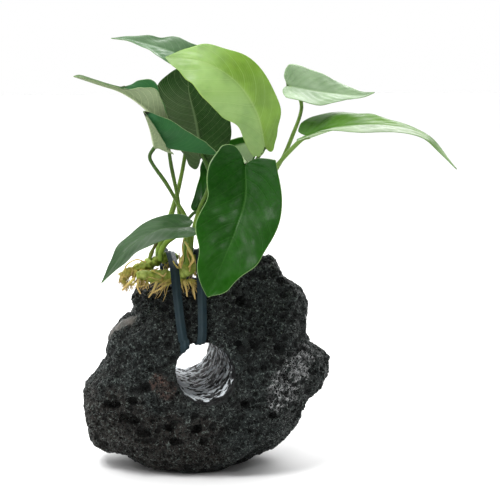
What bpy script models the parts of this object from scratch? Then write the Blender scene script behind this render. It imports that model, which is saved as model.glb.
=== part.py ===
"""Anubias plant tied on a drilled lava stone.

The origin is the centre of the stone's flat base, +Z is up and the drilled hole runs along +Y.
The stone and the plant are laid out in millimetres in the plant's own frame, which is turned by
PLANT_TURN about Z, so that its X axis runs along the stone's broad face. The hole and the two
bands, which run through it, are laid out in the part's frame.
"""

import math
from dataclasses import dataclass

import bmesh
import bpy
import numpy as np
from mathutils import Matrix, Vector, noise

MM = 0.001
PLANT_TURN = math.radians(-11)
GAP = 0.3
MERGE_WITHIN = 0.01

# The drilled hole, in the part's frame.
HOLE_X = -1.7
HOLE_Z = 47.7
HOLE_RADIUS = 12.6
HOLE_SIDES = 28

# The stone, in the plant's frame: outline seen from the front, as (x, z) from its middle.
STONE_MIDDLE = Vector((4, 0, 44))
STONE_OUTLINE = (
    (-31, 38),
    (-32, 35),
    (-34, 31),
    (-34, 29.5),
    (-31.5, 25.5),
    (-35, 24.5),
    (-38, 23),
    (-42, 18.5),
    (-44, 14),
    (-45, 10),
    (-44, 6),
    (-46, 3),
    (-47.5, 0),
    (-50, -3),
    (-54, -8),
    (-56, -11),
    (-55, -14),
    (-55, -20),
    (-54, -26),
    (-53.5, -31),
    (-52, -35),
    (-49, -37.5),
    (-43, -38.5),
    (-37, -39),
    (-30, -42),
    (-21, -45.5),
    (-4, -49),
    (10, -47),
    (28, -40),
    (33.5, -35),
    (38, -29),
    (42, -23),
    (44, -18),
    (45, -16),
    (47.5, -13),
    (50, -10),
    (52, -8),
    (54, -5.5),
    (55, -2),
    (55, 1),
    (54, 4),
    (52, 6.5),
    (50, 9),
    (48.5, 10),
    (47, 12),
    (46, 15),
    (46, 20),
    (45.5, 22.5),
    (46, 26),
    (46, 28),
    (45, 31),
    (43.5, 34),
    (41.5, 37),
    (39.5, 39),
    (37, 41),
    (34.5, 43),
    (33, 46),
    (31.5, 48),
    (30, 50),
    (28, 51.5),
    (16, 47),
    (2, 41),
    (-10, 39),
    (-20, 38),
)
STONE_FRONT = 37.0
STONE_BACK = 36.0
STONE_SQUARENESS = 2.7
STONE_BACK_SHRINK = 0.9
STONE_SUBDIVISIONS = 5
STONE_KEPT_SHARE = 0.45
SMOOTHING_ANGLE = 0.35
SMOOTHING_SAMPLES = 7
SMOOTHING_DEPTH = 1.6
FACET_SHARE = 0.85
CUTTER_SIZE = 4 * STONE_FRONT
LUMP_SIZE = 17.0
LUMP_HEIGHT = 2.6
LUMP_OCTAVES = (0.8, 2.0, 3)
GRAIN_SIZE = 6.0
GRAIN_HEIGHT = 1.1

# The stone keeps its outline near the upright plane in which the outline was laid out.
OUTLINE_DEPTH = -9.0
OUTLINE_REACH = 12.0
OUTLINE_ROUGHNESS = 0.3

# Broken faces of the stone: a point on the plane and the direction that it faces.
STONE_FACETS = (
    ((0, -24, 65), (0.05, -0.87, 0.50)),
    ((-34, -12, 66), (-0.58, -0.50, 0.64)),
    ((44, -22, 50), (0.72, -0.66, 0.20)),
    ((30, -24, 14), (0.42, -0.40, -0.81)),
    ((-40, -24, 24), (-0.55, -0.82, -0.10)),
    ((-20, -30, 6), (-0.25, -0.70, -0.66)),
    ((-20, 28, 66), (-0.45, 0.68, 0.58)),
    ((32, 26, 62), (0.55, 0.72, 0.42)),
    ((10, 30, 10), (0.15, 0.72, -0.68)),
)

# Pits in the stone: centre and radii. A pit larger than LARGE_PIT is rounded more finely.
LARGE_PIT = 4.0
STONE_PITS = (
    ((-21, -36, 42), (2.4, 3, 1.8)),
    ((-29, -32.5, 27), (5.8, 5, 3.2)),
    ((-36, -29.5, 33), (4.6, 4, 1.9)),
    ((-22, -33.5, 21), (3.2, 3.5, 1.8)),
    ((-27, -34, 35.5), (2.5, 3, 1.4)),
    ((-11, -34, 24), (2.2, 3, 1.8)),
    ((1, -36.5, 24), (2.2, 3, 1.7)),
    ((4, -34.5, 17.5), (2.0, 3, 1.6)),
    ((-9, -33.5, 17.5), (2.2, 3, 1.8)),
    ((22, -35.5, 35), (2.0, 3, 1.8)),
    ((34, -32.5, 29), (1.7, 2.5, 1.5)),
    ((20, -18.5, 77), (2.2, 3.5, 2.2)),
    ((27, -28, 60), (3.0, 3, 2.6)),
    ((37, -26, 57), (3.0, 3.5, 2.6)),
    ((19, -29, 60), (1.6, 2.5, 1.5)),
    ((14, 33.5, 62), (4.5, 4, 3.4)),
    ((-22, 33.5, 34), (4.0, 4, 3.6)),
    ((28, 31, 26), (3.6, 4, 3.0)),
)

# Rhizomes: path and radius at each point.
FRONT_RHIZOME = (
    ((-26, -12, 87), 1.9),
    ((-20, -12, 87), 2.5),
    ((-13, -12, 87), 2.6),
    ((-7, -12, 88), 3.0),
    ((-3, -11, 90.5), 2.9),
    ((1, -9.5, 94), 2.8),
    ((7, -8.5, 96), 2.9),
    ((12, -7.5, 96.5), 2.7),
    ((16, -6.5, 97), 1.9),
)
REAR_RHIZOME = (
    ((-34, -4, 83), 1.4),
    ((-31, -4, 87), 2.0),
    ((-25, -4, 89.5), 1.9),
    ((-20, -3, 91.5), 2.1),
    ((-15, -1.5, 93.5), 2.2),
    ((-8.5, -1, 94.5), 1.5),
)
RHIZOME_STEPS = 5
RHIZOME_SIDES = 8
RHIZOME_RINGS = 0.07
RHIZOME_RING_PITCH = 3.2

# Share of the midrib's length at which a blade is widest.
BLADE_WIDEST = 0.25
FULLNESS_GAIN = 2

# Outline of half a blade: share of the lobe behind the joint (below 0) or of the midrib's
# length (above 0), and share of the half width.
BLADE_OUTLINE = (
    (0.00, 0.00),
    (-0.62, 0.14),
    (-1.00, 0.40),
    (-0.75, 0.72),
    (0.00, 0.93),
    (BLADE_WIDEST, 1.00),
    (0.50, 0.86),
    (0.75, 0.50),
    (0.92, 0.16),
    (1.00, 0.00),
)

# The same for a blade that is rolled up thin over the half of its length at its tip, and for
# a blade that is widest beside its joint.
ROLLED_OUTLINE = (
    (0.00, 0.00),
    (-1.00, 0.10),
    (0.00, 0.16),
    (0.09, 0.36),
    (0.21, 0.66),
    (0.33, 1.00),
    (0.42, 0.76),
    (0.48, 0.40),
    (0.56, 0.15),
    (0.78, 0.13),
    (0.93, 0.17),
    (1.00, 0.00),
)
WEDGE_OUTLINE = (
    (0.00, 0.00),
    (-0.45, 0.45),
    (-0.90, 0.90),
    (-0.80, 1.00),
    (0.00, 0.70),
    (0.25, 0.54),
    (0.50, 0.37),
    (0.75, 0.20),
    (0.92, 0.08),
    (1.00, 0.00),
)
MIDRIB_STEPS = 10
MIDRIB_STEP = 0.01
OUTLINE_STEPS = 8
BLADE_THICKNESS = 0.8
BLADE_COLUMNS = 6
BLADE_ROWS = 12
ROW_SPREAD = 1.6
HALF_PHASE = 0.37
SHEATHED_SHARE = 0.75


@dataclass(frozen=True)
class Leaf:
    """One leaf: its blade along the midrib, from the joint to the tip, and its petiole."""

    midrib: tuple
    half_widths: tuple
    lobes: tuple
    faces: tuple
    petiole: tuple
    fold: tuple = (8, 8)
    unfold: float = 0.0
    outline: tuple = BLADE_OUTLINE
    fullness: tuple = (0.0, 0.0)
    taper: tuple = (0.0, 0.0)
    wave: tuple = (0.8, 3, 0.0)
    petiole_radii: tuple = (1.6, 1.0)
    finish: str = "leaf_green"


LEAVES = {
    "front_large": Leaf(
        midrib=(
            (22, -22, 137),
            (22, -27, 123),
            (18, -32, 110),
            (12.5, -36, 97),
            (6, -40, 82.5),
        ),
        half_widths=(16.5, 15.2),
        lobes=(9, 3),
        faces=((0.1, -0.9, 0.3), (-0.1, -0.9, 0.4)),
        fold=(4, 4),
        fullness=(0.7, 0.9),
        wave=(0.8, 2.5, 0.1),
        petiole=((9, -11, 96), (10.5, -11, 108), (15, -13, 123), (20, -18, 134)),
        petiole_radii=(1.7, 1.1),
    ),
    "young_lime": Leaf(
        midrib=((31, 0, 143), (27, -8, 159), (18, -14, 172.5), (4, -15, 181), (-13, -10, 183)),
        half_widths=(10.5, 11),
        lobes=(3, 3),
        taper=(0.55, 0.3),
        faces=((0.1, -0.8, 0.4), (-0.1, -0.9, 0.4)),
        fold=(6, 0),
        fullness=(1.1, 2.4),
        petiole=((8, -7, 97), (14, -3, 113), (23, 2, 131)),
        finish="leaf_lime",
    ),
    "shaded_middle": Leaf(
        midrib=((2, 5, 141), (0, 3, 155), (-3, -1, 169), (-3, -5, 181)),
        half_widths=(18, 15.5),
        lobes=(8, 8),
        faces=((0.1, 0.9, 0.4), (0.1, 0.9, 0.4)),
        fold=(4, 4),
        fullness=(1.0, 0.1),
        taper=(0.5, 0.15),
        petiole=((-2.6, -9.5, 92), (-1.6, -8.5, 104), (1, -5, 115), (5, -1, 124), (6, 2, 131)),
        petiole_radii=(1.3, 1.0),
        finish="leaf_olive",
    ),
    "top_left": Leaf(
        midrib=((-3, 8, 182), (-12, 8.5, 186), (-22, 9, 189), (-30, 9, 191), (-38, 8, 191.5)),
        half_widths=(9.5, 9),
        lobes=(4, 3),
        faces=((0.1, -0.62, 0.78), (0.1, -0.55, 0.85)),
        fold=(8, 8),
        fullness=(-0.9, -1.1),
        taper=(0.0, 0.3),
        wave=(1.0, 2.5, 0.3),
        petiole=(
            (-17, -0.8, 93.3),
            (-16.9, 0.8, 98),
            (-14.5, 3, 104.5),
            (-10, 8, 118),
            (-6, 12, 136),
            (-3, 13, 159),
        ),
        petiole_radii=(1.8, 1.0),
        finish="leaf_grey",
    ),
    "left_folded": Leaf(
        midrib=(
            (-13, -6, 153),
            (-20, -7.5, 160),
            (-26, -9, 165),
            (-33, -11, 169),
            (-41, -13, 171.5),
            (-52, -16, 175),
        ),
        half_widths=(14, 14),
        lobes=(1, 1),
        faces=((0.1, -0.1, 0.9), (0.2, -0.2, 1.0)),
        fold=(56, 56),
        unfold=0.6,
        outline=ROLLED_OUTLINE,
        wave=(0.3, 3, 0.0),
        petiole=(
            (-16, -4.2, 92.5),
            (-15.9, -4.0, 96.5),
            (-13.4, -3.5, 100.8),
            (-8, -2.5, 106),
            (-8, -3, 119),
            (-11, -2.5, 135),
            (-12.5, -3, 146),
        ),
        petiole_radii=(1.5, 1.0),
        finish="leaf_under",
    ),
    "left_inner": Leaf(
        midrib=((-17, -9, 144), (-18.5, -13, 151), (-20, -17.5, 156), (-21.5, -21, 160)),
        half_widths=(26, 9.5),
        lobes=(12, 1.5),
        faces=((0.96, -0.24, -0.12), (0.97, -0.22, 0.02)),
        fold=(67, 67),
        outline=WEDGE_OUTLINE,
        wave=(0.4, 2, 0.0),
        petiole=(
            (-4, -12.4, 89.5),
            (-3, -11, 101),
            (-4, -8, 111),
            (-8, -8, 119),
            (-13, -9, 128),
            (-18.5, -9.5, 136),
            (-20, -9.5, 140),
        ),
        petiole_radii=(1.5, 1.0),
        finish="leaf_under",
    ),
    "behind_front": Leaf(
        midrib=((1, 1, 115), (11, 6, 125), (22, 10, 137), (29, 9, 144)),
        half_widths=(9, 9.5),
        lobes=(2, 2),
        faces=((-0.1, -0.9, 0.2), (-0.1, -0.8, 0.5)),
        fullness=(0.0, -0.4),
        taper=(0.0, 0.5),
        petiole=((-5.8, -9.2, 90), (-4.8, -5.6, 100), (-4.4, -3, 109), (-2, 0, 113)),
        petiole_radii=(1.2, 0.9),
    ),
    "lower_left": Leaf(
        midrib=((-3, -18, 110), (-16, -22, 109), (-29, -26, 101), (-40, -30, 87)),
        half_widths=(8, 11),
        lobes=(3, 3),
        faces=((0.0, -0.4, 0.9), (-0.5, -0.5, 0.6)),
        petiole=((6.5, -12, 94), (8, -16.5, 101), (5, -18.5, 106), (0.5, -18.5, 107.8)),
        petiole_radii=(1.3, 0.9),
        finish="leaf_grey",
    ),
    "upper_right": Leaf(
        midrib=((41.5, 2, 170.5), (54, 3, 168), (66, 5, 166.5), (74, 6.5, 166), (80, 8, 167.5)),
        half_widths=(12, 13),
        lobes=(3, 3),
        faces=((0.1, -0.7, 0.8), (0.1, -0.5, 0.9)),
        fullness=(-0.9, -0.5),
        petiole=((15, -6.5, 96), (25, 1, 117), (37, 4, 135), (43, 5, 148), (47, 5, 160), (45, 3, 167)),
        petiole_radii=(1.5, 1.05),
        finish="leaf_grey",
    ),
    "arching_right": Leaf(
        midrib=((50, -4, 149), (63, -10, 153), (83, -17, 154), (100, -23, 149.5), (112, -30, 136)),
        half_widths=(10.5, 12.5),
        lobes=(4, 6),
        faces=((0.0, -0.3, 0.95), (0.4, -0.3, 0.85)),
        fold=(8, 25),
        unfold=1.7,
        fullness=(0.0, -1.3),
        petiole=((11.5, -7.5, 97), (22, -4, 116), (35, -2, 134), (46, -2, 146)),
        petiole_radii=(1.6, 1.2),
    ),
}

# The stub left where a leaf was cut off, and the tan dead sheaths at the foot of the crown.
CUT_STALK = ((-21.5, -3.5, 92), (-19.5, -3.5, 97.5), (-16.4, -3.9, 102.8))
CUT_STALK_RADII = (1.2, 0.5)
DEAD_SHEATHS = {
    "dead_sheath_long": ((-4.5, -15.3, 103), (-2.5, -15.5, 99), (-1, -15.6, 95), (-3, -15.8, 91.5)),
    "dead_sheath_short": ((-5.5, -16.3, 97), (-6.6, -16.6, 94), (-6.2, -16.8, 91.5)),
}
DEAD_SHEATH_RADIUS = 0.55

# Thick roots, from under the rhizome to the stone.
ROOTS = {
    "root_1": ((-25, -14.5, 86), (-25.5, -16.5, 83), (-24, -17.5, 80)),
    "root_2": ((-17, -15, 85), (-18.5, -17, 81.5), (-20.5, -18.5, 78.5)),
    "root_3": ((-13, -15, 84.5), (-15, -17, 82.5), (-19, -18.5, 80.5)),
    "root_4": ((-5, -15.5, 85.5), (-4, -17.5, 82), (-3.5, -19, 79)),
    "root_5": ((-2.5, -15, 86), (-1, -17.5, 82.5), (0, -19.3, 78)),
    "root_6": ((-27, -12, 86), (-30, -12, 83.5), (-33, -11, 80.5)),
}
ROOT_RADII = (0.7, 0.35)
ARCHING_ROOT = ((-32.3, -5.6, 88.6), (-30.5, -6.6, 91.6), (-26.5, -6.6, 93.6), (-22.5, -5.2, 92.2))
ARCHING_ROOT_RADIUS = 0.35

# The bands: place across the hole at the top, over the rhizome, and at the bottom, in the hole.
BAND_WIDTH = 4.0
BAND_THICKNESS = 1.0
BANDS = {"tie_band_left": (-12.1, -9.8), "tie_band_right": (-0.4, -2.9)}
BAND_SLACK = 0.25
BAND_HOOK = 0.4
BAND_SIDE_MARGIN = 1.5
BAND_SLICE = 4.0
BAND_TOP = 97.0
TWIST_LENGTH = 14.0
TWIST_SINK = 0.2
TWIST_SIZE = (3.2, 2.2)
TWIST_TURNS = 1.5
TWIST_CUTS = 9
TWIST_HEIGHT = 88.0
TWIST_LEAN = math.radians(-62)

# Base colour, roughness and metallic value of each finish.
FINISHES = {
    "lava": ((0.022, 0.021, 0.020), 0.75, 0.0),
    "leaf_green": ((0.020, 0.100, 0.015), 0.35, 0.0),
    "leaf_lime": ((0.250, 0.480, 0.070), 0.45, 0.0),
    "leaf_olive": ((0.060, 0.120, 0.035), 0.50, 0.0),
    "leaf_grey": ((0.110, 0.210, 0.110), 0.40, 0.0),
    "leaf_under": ((0.260, 0.330, 0.210), 0.55, 0.0),
    "petiole": ((0.130, 0.220, 0.030), 0.45, 0.0),
    "rhizome": ((0.240, 0.330, 0.060), 0.55, 0.0),
    "root": ((0.480, 0.340, 0.110), 0.70, 0.0),
    "vinyl": ((0.018, 0.022, 0.030), 0.45, 0.0),
}


def clear_scene():
    """Remove every object, so that the part is alone in the scene."""
    for item in list(bpy.data.objects):
        bpy.data.objects.remove(item, do_unlink=True)


def new_collection(name):
    """Return a new collection linked to the scene."""
    made = bpy.data.collections.new(name)
    bpy.context.scene.collection.children.link(made)
    return made


def finish(name):
    """Return the material of this finish, making it at its first use."""
    found = bpy.data.materials.get(name)
    if found:
        return found
    colour, roughness, metallic = FINISHES[name]
    made = bpy.data.materials.new(name)
    made.use_nodes = True
    shader = made.node_tree.nodes["Principled BSDF"]
    shader.inputs["Base Color"].default_value = (*colour, 1.0)
    shader.inputs["Roughness"].default_value = roughness
    shader.inputs["Metallic"].default_value = metallic
    made.diffuse_color = (*colour, 1.0)
    return made


def place(name, data, parent=None, look=None, collection=None, cutter=False):
    """Link an object holding this mesh or curve; a cutter is left out of the part."""
    item = bpy.data.objects.new(name, data)
    (collection or parts).objects.link(item)
    item.parent = parent
    if look:
        data.materials.append(finish(look))
    if cutter:
        item.hide_render = True
        item.display_type = "WIRE"
    return item


def mesh_from(bm, name, smooth=True):
    """Turn a bmesh in millimetres into mesh data in metres."""
    bmesh.ops.scale(bm, vec=(MM, MM, MM), verts=bm.verts)
    data = bpy.data.meshes.new(name)
    bm.to_mesh(data)
    bm.free()
    if smooth:
        data.shade_smooth()
    return data


def spline(points, steps):
    """Return points along a Catmull-Rom curve through these, with `steps` to each span."""
    ends = [2 * Vector(points[0]) - Vector(points[1])]
    tail = [2 * Vector(points[-1]) - Vector(points[-2])]
    knots = ends + [Vector(p) for p in points] + tail
    made = []
    for i in range(1, len(knots) - 2):
        a, b, c, d = knots[i - 1 : i + 3]
        for k in range(steps):
            t = k / steps
            made.append(
                0.5
                * (
                    2 * b
                    + (c - a) * t
                    + (2 * a - 5 * b + 4 * c - d) * t * t
                    + (3 * b - a - 3 * c + d) * t * t * t
                )
            )
    made.append(knots[-2])
    return made


def even_lengths(points):
    """Return each point's share of the whole length of the path."""
    steps = [0.0] + [(b - a).length for a, b in zip(points, points[1:])]
    total = np.cumsum(steps)
    return total / total[-1]


class Midrib:
    """The curve of a blade's midrib, with the direction that the upper side faces along it."""

    def __init__(self, leaf):
        self.points = spline(leaf.midrib, MIDRIB_STEPS)
        self.shares = even_lengths(self.points)
        self.length = sum((b - a).length for a, b in zip(self.points, self.points[1:]))
        self.faces = [Vector(f).normalized() for f in leaf.faces]

    def point(self, share):
        """Return the place at this share of the length; before 0 the midrib runs on straight."""
        if share < 0:
            first = (self.points[1] - self.points[0]).normalized()
            return self.points[0] + first * share * self.length
        axes = zip(*self.points)
        return Vector([np.interp(share, self.shares, axis) for axis in axes])

    def frame(self, share):
        """Return the place, the right-hand side and the upper side at this share."""
        near = min(max(share, MIDRIB_STEP), 1 - MIDRIB_STEP)
        along = (self.point(near + MIDRIB_STEP) - self.point(near - MIDRIB_STEP)).normalized()
        up = self.faces[0].lerp(self.faces[1], near)
        up = (up - along * up.dot(along)).normalized()
        return self.point(share), along.cross(up), up


def blade_point(leaf, midrib, outlines, row, across):
    """Return the place on a blade: row from 0 at the joint to 1 at the tip, across from -1 to 1."""
    half = 0 if across > 0 else 1
    edge = outlines[half][round(row * (len(outlines[half]) - 1))]
    share = row**ROW_SPREAD
    side = abs(across)
    along = share + side * (edge[0] - share)
    out = side * edge[1]
    centre, right, up = midrib.frame(along)
    fold = math.radians(leaf.fold[half]) * (1 - leaf.unfold * max(along, 0))
    height, count, phase = leaf.wave
    ripple = height * out**2 * math.sin(2 * math.pi * (count * row + phase + HALF_PHASE * half))
    rise = out * leaf.half_widths[half] * math.sin(fold) + ripple
    reach = out * leaf.half_widths[half] * math.cos(fold) * (1 - 2 * half)
    return centre + right * reach + up * rise


def blade_outline(leaf, midrib, rows, half):
    """Return one half's outline as (share of the midrib, share of the half width) at each row."""
    lobe_share = leaf.lobes[half] / midrib.length
    knots = []
    for along, out in leaf.outline:
        fuller = leaf.fullness[half] * max(along - BLADE_WIDEST, 0) * (1 - along) * FULLNESS_GAIN
        thinner = leaf.taper[half] * min(1 - along / BLADE_WIDEST, 1) if along < BLADE_WIDEST else 0
        knots.append((along * lobe_share if along < 0 else along, out * (1 - thinner) + fuller, 0))
    curve = spline(knots, OUTLINE_STEPS)
    shares = even_lengths(curve)
    wanted = np.linspace(0, 1, rows + 1)
    return list(zip(*[np.interp(wanted, shares, [p[i] for p in curve]) for i in (0, 1)]))


def make_blade(name, leaf, parent):
    """Make one blade: a grid laid on the blade's surface and thickened."""
    midrib = Midrib(leaf)
    outlines = [blade_outline(leaf, midrib, BLADE_ROWS, half) for half in (0, 1)]
    bm = bmesh.new()
    bmesh.ops.create_grid(bm, x_segments=BLADE_COLUMNS, y_segments=BLADE_ROWS, size=1.0)
    for vertex in bm.verts:
        across, row = vertex.co.x, (vertex.co.y + 1) / 2
        vertex.co = blade_point(leaf, midrib, outlines, row, across)
    bmesh.ops.remove_doubles(bm, verts=bm.verts, dist=MERGE_WITHIN)
    item = place(f"blade_{name}", mesh_from(bm, name), parent, leaf.finish)
    thick = item.modifiers.new("thickness", "SOLIDIFY")
    thick.thickness = BLADE_THICKNESS * MM
    thick.offset = 0.0
    return item


def tube(name, path, radii, parent=None, look=None, steps=3, sides=6, cutter=False):
    """Make a round tapering tube through these points, as a closed mesh."""
    points = spline(path, steps)
    shares = even_lengths(points)
    knots = np.linspace(0, 1, len(radii))
    curve = bpy.data.curves.new(name, "CURVE")
    curve.dimensions = "3D"
    curve.bevel_depth = MM
    curve.bevel_resolution = sides // 2 - 2
    curve.use_fill_caps = True
    line = curve.splines.new("POLY")
    line.points.add(len(points) - 1)
    for knot, place_at, share in zip(line.points, points, shares):
        knot.co = (*(place_at * MM), 1.0)
        knot.radius = float(np.interp(share, knots, radii))
    guide = bpy.data.objects.new(name, curve)
    bpy.context.scene.collection.objects.link(guide)
    bpy.context.view_layer.update()
    ready = guide.evaluated_get(bpy.context.evaluated_depsgraph_get())
    data = bpy.data.meshes.new_from_object(ready)
    bpy.data.objects.remove(guide, do_unlink=True)
    bpy.data.curves.remove(curve)
    bm = bmesh.new()
    bm.from_mesh(data)
    bmesh.ops.remove_doubles(bm, verts=bm.verts, dist=MERGE_WITHIN * MM)
    bmesh.ops.recalc_face_normals(bm, faces=bm.faces)
    bm.to_mesh(data)
    bm.free()
    data.name = name
    data.shade_smooth()
    return place(name, data, parent, look, cutters if cutter else parts, cutter)


def cut(item, cutter):
    """Take the cutter's shape out of the item."""
    step = item.modifiers.new(f"cut_{cutter.name}", "BOOLEAN")
    step.operation = "DIFFERENCE"
    step.object = cutter


def ringed(path, inflate=0.0):
    """Return the points and radii of a rhizome, swollen between its leaf scars."""
    points = spline([p for p, _ in path], RHIZOME_STEPS)
    shares = even_lengths(points)
    length = sum((b - a).length for a, b in zip(points, points[1:]))
    knots = even_lengths([Vector(p) for p, _ in path])
    radii = []
    for share in shares:
        ring = 1 + RHIZOME_RINGS * math.cos(2 * math.pi * share * length / RHIZOME_RING_PITCH)
        radii.append(float(np.interp(share, knots, [r for _, r in path])) * ring + inflate)
    return points, radii


def make_rhizome(name, path, parent):
    """Make a rhizome and the slightly larger cutter that keeps its neighbours clear of it."""
    points, radii = ringed(path)
    item = tube(name, points, radii, parent, "rhizome", steps=1, sides=RHIZOME_SIDES)
    wide = [r + GAP for r in radii]
    cutter = tube(
        f"{name}_cutter", points, wide, parent, steps=1, sides=RHIZOME_SIDES, cutter=True
    )
    return item, cutter


def make_leaf(name, leaf, parent, clear_of):
    """Make a leaf's blade and the petiole that carries it from the rhizome."""
    make_blade(name, leaf, parent)
    joint, _, up = Midrib(leaf).frame(0.0)
    thick, thin = leaf.petiole_radii
    end = joint - up * (BLADE_THICKNESS / 2 + GAP + thin)
    radii = (thick, SHEATHED_SHARE * thick, thin, thin, thin)
    stalk = tube(f"petiole_{name}", [*leaf.petiole, end], radii, parent, "petiole")
    for cutter in clear_of:
        cut(stalk, cutter)


def outline_radius(angle, smooth):
    """Return the stone's radius at this angle in its outline; smooth averages it to each side."""
    bearings = [math.atan2(z, x) for x, z in STONE_OUTLINE]
    radii = [math.hypot(x, z) for x, z in STONE_OUTLINE]
    order = np.argsort(bearings)
    table = np.array(bearings)[order], np.array(radii)[order]
    near = angle + np.linspace(-SMOOTHING_ANGLE, SMOOTHING_ANGLE, SMOOTHING_SAMPLES) * smooth
    return float(np.mean(np.interp(near, *table, period=2 * math.pi)))


def stone_point(direction):
    """Return the stone's surface in this direction from its middle, before its facets."""
    flat = math.hypot(direction.x, direction.z)
    power = STONE_SQUARENESS
    reach = (flat**power + abs(direction.y) ** power) ** (-1 / power)
    depth = direction.y * reach
    smooth = min(max(depth * SMOOTHING_DEPTH, 0.0), 1.0)
    radius = outline_radius(math.atan2(direction.z, direction.x), smooth)
    radius *= 1 - (1 - STONE_BACK_SHRINK) * smooth
    scale = reach * radius
    deep = depth * (STONE_BACK if depth > 0 else STONE_FRONT)
    return STONE_MIDDLE + Vector((direction.x * scale, deep, direction.z * scale))


def roughen(spot, outward):
    """Return the spot moved along its outward direction by the stone's lumps and grain."""
    lump = noise.fractal(spot / LUMP_SIZE, *LUMP_OCTAVES) * LUMP_HEIGHT
    grain = noise.noise(spot / GRAIN_SIZE) * GRAIN_HEIGHT
    away = min(abs(spot.y - OUTLINE_DEPTH) / OUTLINE_REACH, 1.0)
    share = OUTLINE_ROUGHNESS + (1 - OUTLINE_ROUGHNESS) * away
    return spot + outward * (lump + grain) * share


def stone_block():
    """Return the whole stone as a bmesh in millimetres."""
    bm = bmesh.new()
    bmesh.ops.create_icosphere(bm, subdivisions=STONE_SUBDIVISIONS, radius=1.0)
    for vertex in bm.verts:
        outward = vertex.co.normalized()
        spot = stone_point(outward)
        for point, normal in STONE_FACETS:
            normal = Vector(normal).normalized()
            beyond = (spot - Vector(point)).dot(normal)
            if beyond > 0:
                spot -= normal * beyond * FACET_SHARE
        vertex.co = roughen(spot, outward)
    return bm


def floor_cutter():
    """Return the block whose top, at z = 0, cuts the stone's flat base."""
    bm = bmesh.new()
    below = Matrix.Translation((0, 0, -CUTTER_SIZE / 2))
    bmesh.ops.create_cube(bm, size=CUTTER_SIZE, matrix=below)
    return place("floor_cutter", mesh_from(bm, "floor", False), None, None, cutters, True)


def make_stone(parent):
    """Make the stone: the block, thinned to fewer facets, cut flat below, drilled and pitted."""
    stone = place("lava_stone", mesh_from(stone_block(), "lava_stone", False), parent, "lava")
    fewer = stone.modifiers.new("fewer_facets", "DECIMATE")
    fewer.ratio = STONE_KEPT_SHARE
    cut(stone, floor_cutter())
    drill = bmesh.new()
    bmesh.ops.create_cone(
        drill,
        cap_ends=True,
        segments=HOLE_SIDES,
        radius1=HOLE_RADIUS,
        radius2=HOLE_RADIUS,
        depth=CUTTER_SIZE,
        matrix=Matrix.Translation((HOLE_X, 0, HOLE_Z)) @ Matrix.Rotation(math.pi / 2, 4, "X"),
    )
    hole = place("hole_cutter", mesh_from(drill, "hole"), None, None, cutters, True)
    cut(stone, hole)
    for number, (centre, radii) in enumerate(STONE_PITS, 1):
        pit = bmesh.new()
        rounds = 2 if max(radii) > LARGE_PIT else 1
        bmesh.ops.create_icosphere(pit, subdivisions=rounds, radius=1.0)
        bmesh.ops.scale(pit, vec=radii, verts=pit.verts)
        bmesh.ops.translate(pit, vec=centre, verts=pit.verts)
        name = f"pit_cutter_{number}"
        cut(stone, place(name, mesh_from(pit, name), parent, None, cutters, True))
    return stone


def section(item, low, high):
    """Return the (y, z) of the item's vertices whose x lies between these, in millimetres."""
    bpy.context.view_layer.update()
    ready = item.evaluated_get(bpy.context.evaluated_depsgraph_get())
    data = ready.to_mesh()
    spots = [item.matrix_world @ vertex.co / MM for vertex in data.vertices]
    ready.to_mesh_clear()
    return [(p.y, p.z) for p in spots if low < p.x < high]


def hull(points):
    """Return the convex hull of points in a plane, anticlockwise."""
    ordered = sorted(set(points))

    def half(run):
        chain = []
        for p in run:
            while len(chain) > 1 and turn(chain[-2], chain[-1], p) <= 0:
                chain.pop()
            chain.append(p)
        return chain[:-1]

    return half(ordered) + half(ordered[::-1])


def turn(a, b, c):
    """Return twice the area of the triangle, positive where it turns left."""
    return (b[0] - a[0]) * (c[1] - a[1]) - (b[1] - a[1]) * (c[0] - a[0])


def outset(ring, distance):
    """Return the convex anticlockwise ring grown outwards by this distance."""
    grown = []
    for before, here, after in zip(ring[-1:] + ring[:-1], ring, ring[1:] + ring[:1]):
        first = (Vector(here) - Vector(before)).normalized()
        second = (Vector(after) - Vector(here)).normalized()
        out = Vector((first.y, -first.x)) + Vector((second.y, -second.x))
        grown.append(Vector(here) + out * distance / (1 + first.dot(second)))
    return grown


def band_shift(across, height):
    """Return the band's place across the hole at this height."""
    roof = HOLE_Z + HOLE_RADIUS
    share = min(max((height - roof) / (BAND_TOP - roof), 0.0), 1.0)
    return across[1] + (across[0] - across[1]) * share**BAND_HOOK


def roof_height(x):
    """Return the height of the hole's roof at this place across it."""
    return HOLE_Z + math.sqrt(HOLE_RADIUS**2 - (x - HOLE_X) ** 2)


def band_ring(across, wrapped):
    """Return the (y, z) ring drawn tight round what the band holds above the hole."""
    roof = min(roof_height(across[1] + side * BAND_WIDTH / 2) for side in (-1, 1))
    half = BAND_WIDTH / 2 + BAND_SIDE_MARGIN
    held = []
    for item in wrapped:
        for bottom in np.arange(roof, BAND_TOP, BAND_SLICE):
            middle = band_shift(across, bottom)
            spots = section(item, middle - half, middle + half)
            held += [spot for spot in spots if bottom < spot[1] <= bottom + BAND_SLICE]
    low = [spot for spot in held if spot[1] < roof + BAND_SLICE]
    ends = [min(spot[0] for spot in low), max(spot[0] for spot in low)]
    return outset(hull(held + [(end, roof) for end in ends]), GAP + BAND_SLACK)


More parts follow.
